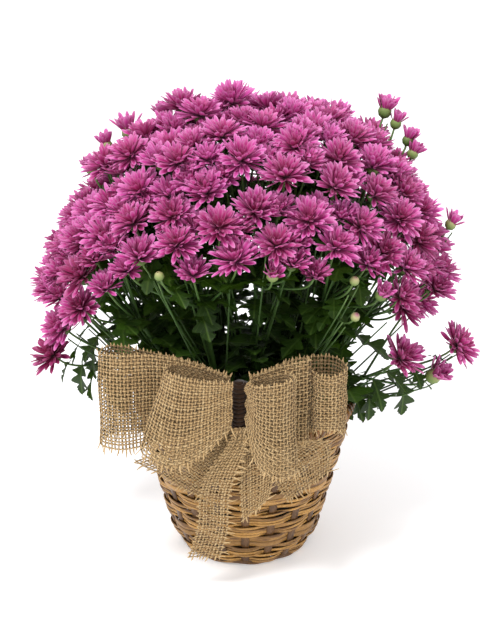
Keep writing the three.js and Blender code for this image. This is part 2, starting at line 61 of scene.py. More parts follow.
# Flower dome.
DOME_CENTRE = np.array([0.0, 0.0, 250.0])
DOME_HALF = np.array([160.0, 142.0, 134.0])
DOME_LEAN, SHOULDER, DOME_SPOTS, SPRAY_SPOTS, STEEP_CROWDING = 0.08, 0.045, 150, 18, 1.5
POLAR_STEP, POLAR_END = math.radians(0.5), math.radians(100)
LOWEST, FRONT_RISE, BACK_RISE = 97, 31, 10
BLOOM_RADIUS, LEAST_RADIUS, BLOOM_CLEARANCE, STALK_CLEARANCE, BUD_CLEARANCE = 19.5, 12.5, 0.5, 2, 2
FAN_ORIGIN = np.array([0.0, 0.0, 95.0])
FORK_REACH, HOLE_SPREAD, KNOB_HALF_LENGTH, STALK_RISE, STALK_ABOVE = 0.66, 0.3, 3, 14, 4
KNEE_SPREAD, KNEE_HEIGHT = 1.25, 152
LEAVES_OUTER, LEAVES_INNER, OUTER_REACH, LEAF_TRIES = 3, 2, 70, 24
STEM_KEEP, STALK_KEEP, BLOOM_KEEP, LEAF_KEEP, KEEP_STEP = 4.8, 5.5, 2.5, 8.5, 6
LEAF_FOLD, LEAF_DROOP = 0.25, 0.3

# Room kept free of leaves: round the rim, over the soil, and the bow's box.
RIM_ROOM_TOP, RIM_ROOM_IN, RIM_ROOM_OUT = RIM_HEIGHT + 9, POT_TOP_RADIUS - 5, 103
SOIL_ROOM_TOP = SOIL_TOP + 4
BOW_BACK, BOW_TOP, BOW_LEFT, BOW_RIGHT = -80, 226, -124, 90


# Small tools.

def draws(seed):
    """Seeded draws between two limits, the same in every run."""
    state = [seed]

    def draw(low, high):
        state[0] = state[0] * 16807 % 2147483647
        return low + (high - low) * state[0] / 2147483647
    return draw


def pick(draw, items):
    return items[int(draw(0, len(items)))]


def unit(v):
    return v / np.linalg.norm(v)


def turned(angles, side=np.array([1.0, 0, 0]), across=np.array([0, 1.0, 0])):
    """Directions at the angles from side towards across."""
    return np.cos(angles)[:, None] * side + np.sin(angles)[:, None] * across


def linear(hexa, alpha=1.0):
    """An sRGB colour such as 0xC08A45 as the linear values that shaders take."""
    parts = [((hexa >> shift) & 255) / 255 for shift in (16, 8, 0)]
    return (*[p / 12.92 if p <= 0.04045 else ((p + 0.055) / 1.055) ** 2.4 for p in parts], alpha)


def place(name, data):
    """A new object in the scene."""
    made = bpy.data.objects.new(name, data)
    bpy.context.scene.collection.objects.link(made)
    return made


class Shape:
    """Points, faces and per-point numbers gathered for one mesh."""

    def __init__(self):
        self.points, self.faces, self.values, self.count = [], [], {}, 0

    def add(self, points, faces, **values):
        for name, value in values.items():
            self.values.setdefault(name, []).append(value)
        self.faces.append(faces + self.count)
        self.points.append(points)
        self.count += len(points)

    def grid(self, points, closed=(False, True), **values):
        """A sheet of quads over rows and columns of points, each way open or closed."""
        rows, columns = points.shape[:2]
        i = np.arange(rows if closed[0] else rows - 1)[:, None]
        j = np.arange(columns if closed[1] else columns - 1)[None, :]
        k, l = (i + 1) % rows, (j + 1) % columns
        quads = np.stack([i * columns + j, i * columns + l, k * columns + l, k * columns + j], -1)
        self.add(points.reshape(-1, 3), quads.reshape(-1, 4),
                 **{name: np.broadcast_to(value, (rows, columns)).ravel() for name, value in values.items()})

    def tube(self, path, radius, sides, flat=1.0, facing=None, round_trip=False, **values):
        """A tube along a path, with a radius at each point; flat squeezes it along facing."""
        path = np.asarray(path, float)
        if round_trip:
            ahead = np.roll(path, -1, 0) - np.roll(path, 1, 0)
        else:
            ahead = np.gradient(path, axis=0)
        ahead /= np.linalg.norm(ahead, axis=1)[:, None]
        if facing is None:
            run = unit(path[-1] - path[0])
            facing = [1.0, 0, 0] if abs(run[0]) < 0.7 else [0, 1.0, 0]
        side = np.cross(facing, ahead)
        side /= np.linalg.norm(side, axis=1)[:, None]
        over = np.cross(ahead, side)
        angle = ((np.arange(sides) + 0.5) * TURN / sides)[:, None]
        ring = np.cos(angle) * side[:, None] + flat * np.sin(angle) * over[:, None]
        start, last = self.count, self.count + (len(path) - 1) * sides
        self.grid(path[:, None] + np.reshape(radius, (-1, 1, 1)) * ring, closed=(round_trip, True),
                  **{name: np.reshape(value, (-1, 1)) for name, value in values.items()})
        if not round_trip:
            fan = np.arange(1, sides - 1)
            self.faces += [np.stack([np.full_like(fan, start), start + fan + 1, start + fan], 1),
                           np.stack([np.full_like(fan, last), last + fan, last + fan + 1], 1)]

    def strip(self, path, side, out, columns, thick, round_trip=True, **values):
        """A strip along a path; its corners are columns along side and thick along out."""
        side, out = (np.broadcast_to(v, path.shape)[:, None] for v in (side, out))
        self.grid(path[:, None] + columns[:, None] * side + thick[:, None] * out, closed=(round_trip, True),
                  **values)

    def stalk(self, path, radii, sides, tones):
        """A tube that tapers and changes its tone along its length."""
        self.tube(path, np.linspace(*radii, len(path)), sides, tone=np.linspace(*tones, len(path)))

    def make(self, name, material, slot, replaces=(), smooth=True):
        points = np.concatenate(self.points) / 1000
        mesh = bpy.data.meshes.new(name)
        mesh.from_pydata(points, [], [face for faces in self.faces for face in faces.tolist()],
                         shade_flat=not smooth)
        for value_name, parts in self.values.items():
            layer = mesh.attributes.new(value_name, "FLOAT", "POINT")
            layer.data.foreach_set("value", np.concatenate(parts).astype(np.float32))
        mesh.materials.append(material)
        piece = place(name, mesh)
        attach(piece, "root")
        if replaces:
            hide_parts(*replaces)
        return piece


# Materials.

class Material:
    """Builds one material; a node's inputs are constants or other nodes' outputs."""

    def __init__(self, name):
        self.material = bpy.data.materials.new(name)
        self.material.use_nodes = True
        self.tree = self.material.node_tree
        self.tree.nodes.clear()

    def node(self, kind, inputs=None, **settings):
        made = self.tree.nodes.new("ShaderNode" + kind)
        for key, value in settings.items():
            setattr(made, key, value)
        for key, value in (inputs or {}).items():
            if isinstance(value, bpy.types.NodeSocket):
                self.tree.links.new(value, made.inputs[key])
            else:
                made.inputs[key].default_value = value
        return made

    def values(self, *names):
        return [self.node("Attribute", attribute_name=name).outputs["Fac"] for name in names]

    def math(self, operation, a, b=0.0, clamp=False):
        return self.node("Math", {0: a, 1: b}, operation=operation, use_clamp=clamp).outputs[0]

    def times(self, a, b, clamp=False):
        return self.math("MULTIPLY", a, b, clamp)

    def plus(self, a, b, clamp=False):
        return self.math("ADD", a, b, clamp)

    def vector(self, *parts):
        return self.node("CombineXYZ", dict(enumerate(parts))).outputs[0]

    def mix(self, share, a, b, blend="MIX"):
        made = self.node("Mix", {"Factor": share, 6: a, 7: b}, data_type="RGBA", blend_type=blend)
        return made.outputs[2]

    def ramp(self, share, *stops):
        made = self.node("ValToRGB", {"Fac": share})
        elements = made.color_ramp.elements
        while len(elements) < len(stops):
            elements.new(0.5)
        for element, (place, colour) in zip(elements, stops):
            element.position, element.color = place, colour
        return made.outputs["Color"]

    def noise(self, scale, detail=3.0, where=None, roughness=0.55):
        inputs = {"Scale": scale, "Detail": detail, "Roughness": roughness}
        inputs["Vector"] = where or self.node("TexCoord").outputs["Object"]
        return self.node("TexNoise", inputs).outputs["Fac"]

    def bump(self, height, strength, distance):
        inputs = {"Height": height, "Strength": strength, "Distance": distance}
        return self.node("Bump", inputs).outputs["Normal"]

    def surface(self, colour, roughness, normal=None, glow=0.0, sheen=0.0, specular=0.4, through=None):
        inputs = {"Base Color": colour, "Roughness": roughness, "Specular IOR Level": specular,
                  "Sheen Weight": sheen}
        if normal is not None:
            inputs["Normal"] = normal
        shader = self.node("BsdfPrincipled", inputs).outputs[0]
        if glow:
            light = self.node("BsdfTranslucent", {"Color": through or colour}).outputs[0]
            shader = self.node("MixShader", {"Fac": glow, 1: shader, 2: light}).outputs[0]
        self.node("OutputMaterial", {"Surface": shader})
        return self.material


def petal_material():
    """Living chrysanthemum petal: soft and matt, thin enough that light comes through it, dark
    crimson at the root deepened with painted shade, clear magenta along it, and a lilac bloom on its tip and
    edges brightened with a painted highlight. Upper blooms get painted top light, paler, more lilac and
    brighter, and lower ones painted shade, deeper crimson."""
    m = Material("petal_living_magenta")
    along, edge, tone, heart = m.values("along", "edge", "tone", "heart")
    # Painted light along the petal: the root is partly its own deep crimson and partly painted shade where
    # the petals overlap, the tip partly its own pale colour and partly a painted highlight.
    body = m.ramp(along, (0.0, linear(0x520628)), (0.35, linear(0x9E1460)), (0.75, linear(0xC83490)),
                  (1.0, linear(0xE083C0)))
    # rim: a pale tint on the edges towards the tip, partly the petal's own lilac edge and partly a painted
    # highlight.
    rim = m.times(m.math("POWER", edge, 2.0), m.times(along, 0.8), clamp=True)
    colour = m.mix(rim, body, linear(0xE6A9D2))
    # tone is partly random per bloom and petal and partly painted top light from the bloom's height: upper
    # blooms more lilac, lower ones more crimson as painted shade.
    lilac = m.times(m.plus(tone, 0.3), 0.26, clamp=True)
    colour = m.mix(lilac, colour, linear(0xB45CAC))
    crimson = m.times(m.math("SUBTRACT", -0.05, tone), 0.75, clamp=True)
    colour = m.mix(crimson, colour, linear(0x9A0E50))
    colour = m.mix(m.times(heart, 0.6, clamp=True), colour, linear(0xA01C50))
    # Painted top light and random tone: the colour is brightened where tone is high, on the upper blooms,
    # and darkened on the lower ones.
    shade = m.plus(m.times(tone, 0.2), 1.0)
    random_tone_and_top_light = m.node("CombineColor", dict.fromkeys(range(3), shade)).outputs[0]
    colour = m.mix(1.0, colour, random_tone_and_top_light, "MULTIPLY")
    return m.surface(colour, 0.48, glow=0.12, sheen=0.1, specular=0.4)


def leaf_material():
    """Living chrysanthemum leaf: dark green with a slight waxy sheen, paler raised veins, and a
    little light through the blade."""
    m = Material("leaf_living_lobed")
    along, across, tone = m.values("along", "across", "tone")
    rib = m.math("SUBTRACT", 1.0, m.times(m.math("ABSOLUTE", across), 26.0), clamp=True)
    slant = m.math("SUBTRACT", along, m.times(m.math("ABSOLUTE", across), 1.1))
    wave = m.math("ABSOLUTE", m.math("SINE", m.times(slant, 22.0)))
    side_vein = m.math("SUBTRACT", 1.0, m.times(wave, 5.0), clamp=True)
    vein = m.math("MAXIMUM", rib, m.times(side_vein, 0.6))
    patch = m.noise(60.0, 4.0)
    body = m.ramp(m.plus(m.times(tone, 0.35), m.times(patch, 0.5)),
                  (0.1, linear(0x0E1B07)), (0.48, linear(0x223B0E)), (0.88, linear(0x4F7424)))
    colour = m.mix(m.times(vein, 0.4), body, linear(0x6C8A3E))
    normal = m.bump(m.plus(vein, m.times(patch, 0.4)), 0.5, 0.0006)
    return m.surface(colour, 0.55, normal, glow=0.14, specular=0.3, through=linear(0x5E8A1E))


def stem_material():
    """Living green stem: smooth, pale green where it is young and browner where
    it leaves the soil."""
    m = Material("stem_living_green")
    tone, = m.values("tone")
    speck = m.noise(300.0, 3.0)
    colour = m.ramp(m.plus(m.times(speck, 0.4), m.times(tone, 0.6)),
                    (0.1, linear(0x2C3B18)), (0.5, linear(0x3F5F28)), (0.95, linear(0x7C9654)))
    return m.surface(colour, 0.5, glow=0.08)


def bud_material():
    """Closed flower bud: overlapping green scales that turn cream and pink towards the tip."""
    m = Material("bud_living_scaled")
    along, tone = m.values("along", "tone")
    colour = m.ramp(m.plus(m.times(along, 0.7), m.times(tone, 0.3)),
                    (0.2, linear(0x45602A)), (0.55, linear(0x7C8F4E)), (0.8, linear(0xB3AE7C)),
                    (1.0, linear(0xA8527E)))
    return m.surface(colour, 0.55, m.bump(m.noise(900.0, 2.0), 0.4, 0.0004), glow=0.1)


def splint_material(name, dark, body, pale, knots):
    """Split bamboo: long grain, a satin skin, brown nodes here and there, and edges darkened as painted
    shade where strands meet.
    """
    m = Material(name)
    along, across, tone = m.values("along", "across", "tone")
    grain = m.noise(7.0, 6.0, m.vector(m.times(along, 0.06), across, m.times(tone, 9.0)), 0.65)
    stains = m.noise(1.0, 2.0, m.vector(m.times(along, 0.035), m.times(across, 0.3), m.times(tone, 31.0)))
    base = m.ramp(grain, (0.25, linear(dark)), (0.5, linear(body)), (0.75, linear(pale)))
    shade = m.ramp(stains, (0.36, linear(0x5A3416)), (0.48, linear(0xFFFFFF)))
    colour = m.mix(knots, base, m.mix(1.0, base, shade, "MULTIPLY"))
    colour = m.mix(m.times(m.plus(tone, 0.35), 0.5, clamp=True), colour, linear(dark))
    # Painted shade: a strand darkens towards its edges, as in the gaps between strands.
    edge = m.math("POWER", m.values("edge")[0], 3.0)
    colour = m.mix(m.times(edge, 0.75, clamp=True), colour, linear(0x2E1A0A))
    return m.surface(colour, 0.42, m.bump(grain, 0.35, 0.0005), specular=0.45)


def jute_material():
    """Jute yarn of a loose plain-woven burlap: dry, hairy and matt, straw coloured, with darker
    fibres twisted along it, and painted shade where it dives under the yarn that crosses it and on the inner
    side of a loop."""
    m = Material("jute_yarn_plain_woven")
    along, tone, bared = m.values("along", "tone", "bared")
    fibre = m.noise(3.0, 5.0, m.vector(m.times(along, 0.35), m.times(tone, 40.0), 0.0), 0.7)
    fine = m.noise(1500.0, 4.0)
    shade = m.plus(m.times(fibre, 0.5), m.plus(m.times(fine, 0.35), m.times(tone, 0.05)))
    straw = m.ramp(shade, (0.2, linear(0x765A3A)), (0.42, linear(0xB39467)), (0.6, linear(0xD8C094)),
                   (0.85, linear(0xF0E2C2)))
    # Painted shade where bared is low: under a crossing yarn, inside a loop and on the bow's tie.
    painted_yarn_shade = m.times(m.math("SUBTRACT", 0.78, bared), 1.7, clamp=True)
    colour = m.mix(painted_yarn_shade, straw, linear(0x2C1B0E))
    return m.surface(colour, 0.9, m.bump(fine, 0.6, 0.0004), sheen=0.15, specular=0.15)


def plain_material(name, hexa, roughness, grain=0.0, scale=400.0):
    """A plain matt surface with a faint grain."""
    m = Material(name)
    speck = m.noise(scale, 5.0)
    colour = m.mix(m.times(speck, 0.5), linear(hexa), linear(0x1A120C))
    return m.surface(colour, roughness, m.bump(speck, grain, 0.002) if grain else None)


PETAL, LEAF, STEM, BUD, JUTE = (petal_material(), leaf_material(), stem_material(), bud_material(),
                                jute_material())
SPLINT = splint_material("bamboo_splint_golden", 0x5C3A10, 0xB4823A, 0xEAC077, 0.8)
STAKE = splint_material("bamboo_stake_smoked", 0x3A2410, 0x664420, 0x8C6434, 0.4)
CANE = splint_material("cane_strip_wrapped", 0x6E431C, 0x9C6A32, 0xC08F50, 0.6)
PLASTIC = plain_material("polypropylene_moulded_dark", 0x2A2F2B, 0.5)
SOIL = plain_material("peat_mix_loose", 0x3B2A1D, 0.95, 1.0, 250.0)


# Where everything stands. The same rules as the solid part's.

def lowest_polar(azimuth):
    """How far down the blooms reach: less over the bow at the front, and at the back."""
    front = max(0, -math.sin(azimuth)) ** 1.5
    back = max(0, math.sin(azimuth)) ** 1.5
    return math.radians(LOWEST - FRONT_RISE * front - BACK_RISE * back)


def dome_point(polar, azimuth):
    spread = 1 + SHOULDER * math.sin(4 * polar)
    p = DOME_CENTRE + spread * DOME_HALF * [math.sin(polar) * math.cos(azimuth),
                                            math.sin(polar) * math.sin(azimuth), math.cos(polar)]
    p[0] += DOME_LEAN * (p[2] - DOME_CENTRE[2])
    return p


def dome_spots(count):
    """Spots along a spiral, closer where the dome is steep."""
    polars = [POLAR_STEP / 2]
    while polars[-1] + POLAR_STEP < POLAR_END:
        polars.append(polars[-1] + POLAR_STEP)
    wide, tall = DOME_HALF[0], DOME_HALF[2] * STEEP_CROWDING
    bands = [math.sin(p) * math.hypot(wide * math.cos(p), tall * math.sin(p)) for p in polars]
    whole, covered, spots = sum(bands), 0.0, []
    for polar, band in zip(polars, bands):
        before, covered = covered, covered + band
        i = math.ceil(before / whole * count - 0.5)
        while i + 0.5 < covered / whole * count:
            share = ((i + 0.5) * whole / count - before) / (covered - before) - 0.5
            if polar < lowest_polar(i * GOLDEN_ANGLE):
                spots.append((polar + share * POLAR_STEP, i * GOLDEN_ANGLE))
            i += 1
    return spots


def facing(p):
    """A bloom faces halfway between straight out of the dome and straight up."""
    return unit(0.5 * unit((p - DOME_CENTRE) / DOME_HALF ** 2) + [0, -0.08, 0.7])


def room_beside(bloom, other):
    """The largest radius that keeps a bloom clear of another one's petals, and of its stalk where
    the other one stands higher."""
    apart = other.centre - bloom.centre
    if other.bud:
        return np.linalg.norm(apart) - other.limit - BUD_CLEARANCE
    along = apart @ unit(bloom.axis + other.axis)
    beside = math.sqrt(apart @ apart - along * along)
    petals = math.hypot(beside / 2, along) - BLOOM_CLEARANCE
    return min(petals, beside - STALK_CLEARANCE) if along > STALK_ABOVE else petals


# Blooms and buds listed one by one: centre and largest radius.
SIDE_BLOOMS = [
    (-149, -34, 213, 17), (-159, -30, 186, 18), (-131, -58, 240, 16), (-136, 14, 205, 16),
    (126, -60, 196, 18), (175, -34, 196, 17), (128, -48, 236, 17), (146, 20, 214, 16),
]
BUDS = [
    (-49, 50, 378, 6), (-68, 45, 371, 5), (-96, 35, 360, 6.5), (-114, 28, 351, 5), (-126, 15, 334, 5),
    (116, 40, 376, 6), (125, 35, 367, 5), (135, 30, 354, 5), (139, 25, 344, 5), (170, 0, 291, 5),
    (157, -36, 170, 7), (-65, -120, 292, 4), (21, -125, 294, 5), (84, -110, 284, 4), (86, -100, 250, 4),
    (106, -95, 266, 5),
]
# Two stems for the side blooms: middle of the blooms, and foot.
SIDE_SPRAYS = [((-158, -28, 200), (-56, -6)), ((152, -30, 190), (54, -15))]


class Bloom:
    def __init__(self, centre, limit, bud=False):
        self.centre, self.axis, self.limit, self.bud = centre, facing(centre), limit, bud


class Spray:
    def __init__(self, centre, foot=None):
        self.centre, self.foot, self.blooms, self.inner = np.array(centre, float), foot, [], []

    def stand(self):
        middle = np.mean([bloom.centre for bloom in self.blooms], axis=0)
        self.fork = FAN_ORIGIN + (middle - FAN_ORIGIN) * FORK_REACH
        if self.foot is None:
            self.foot = self.fork[:2] * HOLE_SPREAD / FORK_REACH
        x, y = self.foot
        knee = np.array([x * KNEE_SPREAD, y * KNEE_SPREAD, KNEE_HEIGHT])
        self.heading = unit(self.fork - knee)
        start = np.array([x, y, SOIL_TOP + 2])
        end = self.fork - self.heading * (KNOB_HALF_LENGTH + 6)
        self.bend = lambda t: (1 - t) ** 2 * start + 2 * t * (1 - t) * knee + t * t * end
        self.path = [np.array([x, y, SOIL_TOP - HOLE_DEPTH + 0.3]),
                     *[self.bend(t) for t in (0, 1 / 3, 2 / 3, 1)],
                     self.fork - self.heading * (KNOB_HALF_LENGTH + 0.3)]


def nearest(sprays, p):
    return min(sprays, key=lambda spray: np.linalg.norm(spray.centre - p))


def lay_out():
    """The stems with their blooms, each bloom as large as the room beside it allows."""
    draw = draws(20261)
    blooms = []
    for rows, bud in ((SIDE_BLOOMS, False), (BUDS, True)):
        for x, y, z, limit in rows:
            blooms.append(Bloom(np.array([x, y, z], float), limit, bud))
            draw(0, 1)  # here and below, the turn that the solid part gives the bloom
    for polar, azimuth in dome_spots(DOME_SPOTS):
        polar += draw(-0.012, 0.012)
        bloom = Bloom(dome_point(polar, azimuth + draw(-0.02, 0.02)), BLOOM_RADIUS)
        draw(0, 1)
        bloom.centre = bloom.centre + bloom.axis * draw(-9, 5)
        if all(room_beside(bloom, other) >= LEAST_RADIUS
               and (other.bud or room_beside(other, bloom) >= LEAST_RADIUS) for other in blooms):
            blooms.append(bloom)
    for bloom in blooms:
        others = [] if bloom.bud else [other for other in blooms if other is not bloom]
        bloom.radius = min([bloom.limit, *(room_beside(bloom, other) for other in others)])
    sprays = [Spray(dome_point(*spot)) for spot in dome_spots(SPRAY_SPOTS)]
    sprays += [Spray(*row) for row in SIDE_SPRAYS]
    for bloom in blooms:
        nearest(sprays, bloom.centre).blooms.append(bloom)
    for spray in sprays:
        spray.stand()
    return sprays


# Edge of a lobed leaf as the solid part has it, to place each leaf where its solid is.
LEAF_EDGE = [(0, 0.02), (0.2, 0.03), (0.38, 0.27), (0.47, 0.12), (0.7, 0.33), (0.75, 0.14)]
BLADE_SPOTS = np.array([*[(a, -w) for a, w in LEAF_EDGE[1:]], (1, 0),
                        *[(a, w) for a, w in LEAF_EDGE[:0:-1]]])
CORE = np.array([0.5, 0])
LEAF_SPOTS = np.concatenate([[CORE], BLADE_SPOTS, BLADE_SPOTS + (CORE - BLADE_SPOTS) / 3,
                             BLADE_SPOTS + (CORE - BLADE_SPOTS) * 2 / 3])


class Leaf:
    def __init__(self, root, azimuth, rise, length):
        self.root, self.length = root, length
        self.ahead = np.array([math.cos(azimuth) * math.cos(rise), math.sin(azimuth) * math.cos(rise),
                               math.sin(rise)])
        self.side = np.array([-math.sin(azimuth), math.cos(azimuth), 0])
        self.up = np.cross(self.ahead, self.side)

    def spots(self, pairs):
        along, wide = pairs[..., :1], pairs[..., 1:]
        height = LEAF_FOLD * np.abs(wide) - LEAF_DROOP * along * along
        return self.root + self.length * (along * self.ahead + wide * self.side + height * self.up)


def in_the_way(p):
    """True for points in the rim, the bow or the soil."""
    x, y, z = p[:, 0], p[:, 1], p[:, 2]
    radius = np.hypot(x, y)
    rim = (z < RIM_ROOM_TOP) & (radius > RIM_ROOM_IN) & (radius < RIM_ROOM_OUT)
    bow = (y < BOW_BACK) & (z < BOW_TOP) & (x > BOW_LEFT) & (x < BOW_RIGHT)
    return rim | bow | (z < SOIL_ROOM_TOP)


def obstacles(sprays):
    """Points along the stems and stalks and at the blooms, each with the distance to keep."""
    def line(a, b, keep):
        steps = math.ceil(np.linalg.norm(b - a) / KEEP_STEP)
        return [(a + (b - a) * i / steps, keep) for i in range(steps + 1)]

    rows = []
    for spray in sprays:
        for a, b in zip(spray.path, spray.path[1:]):
            rows += line(a, b, STEM_KEEP)
        for bloom in spray.blooms:
            rows += [*line(spray.fork, bloom.centre, STALK_KEEP), (bloom.centre, bloom.radius + BLOOM_KEEP)]
    return [np.array(column) for column in zip(*rows)]


def far_enough(points, others, keeps):
    return (np.linalg.norm(points[:, None] - others[None], axis=2) > keeps).all()


def stem_leaves(sprays):
    """The large leaves on the stems, each clear of all else."""
    draw = draws(77)
    fixed, keeps = obstacles(sprays)
    leaves, taken = [], np.zeros((0, 3))
    for turn in range(LEAVES_OUTER):
        for spray in sprays:
            if turn >= LEAVES_INNER and np.hypot(*spray.fork[:2]) < OUTER_REACH:
                continue
            outward = math.atan2(spray.fork[1], spray.fork[0])
            for _ in range(LEAF_TRIES):
                share = draw(1.5, 3.97)
                i = int(share)
                root = spray.path[i] + (spray.path[i + 1] - spray.path[i]) * (share - i)
                leaf = Leaf(root, outward + draw(-1.7, 1.7), draw(-0.5, 0.55), draw(35, 52))
                spots = leaf.spots(LEAF_SPOTS)
                if not in_the_way(spots).any() and far_enough(spots, fixed, keeps) \
                        and far_enough(spots, taken, LEAF_KEEP):
                    leaf.spray = spray
                    leaves.append(leaf)
                    taken = np.concatenate([taken, spots])
                    break
    return leaves


sprays = lay_out()
leaves = stem_leaves(sprays)


# Blooms.

# Layers of petals from the outside in: petals, length, root radius, root height, rise at the
# root and at the tip in degrees, width. Lengths are in parts of the bloom's radius.
PETAL_LAYERS = [
    (20, 1.00, 0.08, 0.00, 2, 20, 0.205), (20, 0.96, 0.08, 0.04, 15, 34, 0.20),
    (17, 0.88, 0.08, 0.08, 30, 50, 0.19), (14, 0.74, 0.07, 0.11, 45, 64, 0.175),
    (10, 0.56, 0.05, 0.13, 60, 78, 0.155), (8, 0.38, 0.03, 0.14, 74, 96, 0.13),
]
INNER_LAYERS = PETAL_LAYERS[1:5]
PETAL_ALONG = np.array([0.0, 0.22, 0.46, 0.68, 0.85, 0.95, 1.0])
PETAL_WIDTH = np.array([0.4, 0.6, 0.86, 1.0, 0.88, 0.58, 0.16])
ACROSS = np.array([-1.0, 0.0, 1.0])
# A bloom's petals are nearly as long as a full one's; OWN_SIZE is the share its room decides.
FULL_BLOOM, OWN_SIZE, OPENING_BUD = 22.0, 0.35, 4.4
# Spots tried for smaller blooms, and how far they keep beside others, or else below them.
INNER_SPOTS, INNER_APART, INNER_BELOW = 640, 14.0, 32


def add_petal(shape, centre, axes, radius, angle, layer, draw, heart, tone, openness=0):
    """One cupped petal; openness, in degrees, bends it outward."""
    length, root, height, rise, lift, width = layer[1:]
    rise, lift = rise - openness, lift - openness
    side, across, axis = axes
    length *= radius * (1 + draw(-0.16, 0.07))
    tilt = draw(-15, 13)
    rises = np.radians(rise + tilt + (lift - rise + draw(-14, 14)) * PETAL_ALONG)
    steps = np.diff(PETAL_ALONG) * length
    middle = (rises[1:] + rises[:-1]) / 2
    out = root * radius + np.concatenate([[0], np.cumsum(np.cos(middle) * steps)])
    up = height * radius + np.concatenate([[0], np.cumsum(np.sin(middle) * steps)])
    radial = math.cos(angle) * side + math.sin(angle) * across
    sideways = np.cross(axis, radial)
    twist = draw(-0.65, 0.65)
    half = width * radius / 2 * PETAL_WIDTH * (1 + draw(-0.12, 0.1))
    trough = 0.5 * half
    normal = -np.sin(rises)[:, None] * radial + np.cos(rises)[:, None] * axis
    spine = centre + out[:, None] * radial + up[:, None] * axis + draw(-0.07, 0.07) * radius * \
        (PETAL_ALONG ** 2)[:, None] * sideways
    wide = half[:, None, None] * ACROSS[None, :, None] * (
        math.cos(twist) * sideways[None, None, :] + math.sin(twist) * normal[:, None, :])
    lifted = (trough[:, None] * np.abs(ACROSS)[None, :])[:, :, None] * normal[:, None, :]
    shape.grid(spine[:, None, :] + wide + lifted, closed=(False, False), along=PETAL_ALONG[:, None],
               edge=np.abs(ACROSS)[None, :], tone=0.6 * tone + draw(-0.4, 0.4), heart=heart)


def axes_of(axis):
    side = unit(np.array([1.0, 0, 0]) - axis * axis[0])
    return side, np.cross(axis, side), axis


def add_bloom(shape, cup, bloom, draw, layers=PETAL_LAYERS):
    axes = axes_of(unit(bloom.axis + np.array([draw(-0.25, 0.25), draw(-0.25, 0.25), draw(-0.1, 0.1)])))
    radius = OWN_SIZE * bloom.radius + (1 - OWN_SIZE) * FULL_BLOOM
    openness = draw(-14, 8)
    # Random tone plus painted top light: blooms higher up get a higher tone, paler and brighter, and lower
    # ones painted shade, deeper crimson.
    tone = 0.7 * draw(-1, 1) + (bloom.centre[2] - 300) / 160
    for index, layer in enumerate(layers):
        start, count = draw(0, TURN), layer[0]
        heart = max(0, index - 1.6) / 3
        for k in range(count):
            angle = start + (k + draw(-0.22, 0.22)) * TURN / count
            add_petal(shape, bloom.centre, axes, radius, angle, layer, draw, heart, tone, openness)
    side, across, axis = axes
    profile = np.array([(0.09, -0.34), (0.2, -0.3), (0.3, -0.2), (0.33, -0.08), (0.2, 0.0)]) * bloom.radius
    ring = turned(np.arange(10) * TURN / 10, side, across)
    cup.grid(bloom.centre + profile[:, None, :1] * ring + profile[:, None, 1:] * axis,
             along=np.linspace(0.1, 0.4, 5)[:, None], tone=tone)


def add_bud(shape, petals, bloom, draw):
    """A bud of green scales; the larger ones are half open, with petals standing in a cone."""
    side, across, axis = axes_of(bloom.axis)
    radius = bloom.radius
    heights = np.array([-1.0, -0.7, -0.2, 0.3, 0.75, 1.1])
    widths = np.array([0.25, 0.75, 0.98, 0.9, 0.62, 0.12])
    ring = turned(np.arange(9) * TURN / 9, side, across)
    shape.grid(bloom.centre + radius * (widths[:, None, None] * ring[None] + heights[:, None, None] * axis),
               along=np.linspace(0, 1, 6)[:, None], tone=draw(0, 1))
    if radius > OPENING_BUD:
        for index in range(3):
            layer = (9, 2.5 - 0.3 * index, 0.5 - 0.12 * index, 0.1, 52 + 8 * index, 74 + 6 * index, 0.8)
            for k in range(9):
                add_petal(petals, bloom.centre, (side, across, axis), radius,
                          (k + 0.5 * index + draw(-0.1, 0.1)) * TURN / 9, layer, draw, 0.1, 0.3)


def curved_stalk(fork, neck, axis, points=10):
    """A stalk that bends up at its elbow and meets the bloom along the bloom's axis."""
    elbow = neck - axis * STALK_RISE
    reach = np.linalg.norm(elbow - fork)
    a, b = fork + (elbow - fork) * 0.6, neck - axis * (STALK_RISE * 0.8 + reach * 0.12)
    t = np.linspace(0, 1, points)[:, None]
    return (1 - t) ** 3 * fork + 3 * t * (1 - t) ** 2 * a + 3 * t * t * (1 - t) * b + t ** 3 * neck


def inner_blooms():
    """Smaller blooms that open a little deeper, wherever a gap is left between the others."""
    draw = draws(1207)
    taken = [bloom.centre for spray in sprays for bloom in spray.blooms]
    for polar, azimuth in dome_spots(INNER_SPOTS):
        bloom = Bloom(dome_point(polar + draw(-0.03, 0.03), azimuth + draw(-0.06, 0.06)), 0)
        bloom.centre = bloom.centre - bloom.axis * draw(3, 14)
        apart = np.array(taken) - bloom.centre
        along = apart @ bloom.axis
        beside = np.sqrt((apart ** 2).sum(1) - along ** 2)
        if ((beside > INNER_APART) | (np.abs(along) > INNER_BELOW)).all():
            bloom.radius = draw(6, 14)
            taken.append(bloom.centre)
            nearest(sprays, bloom.centre).inner.append(bloom)


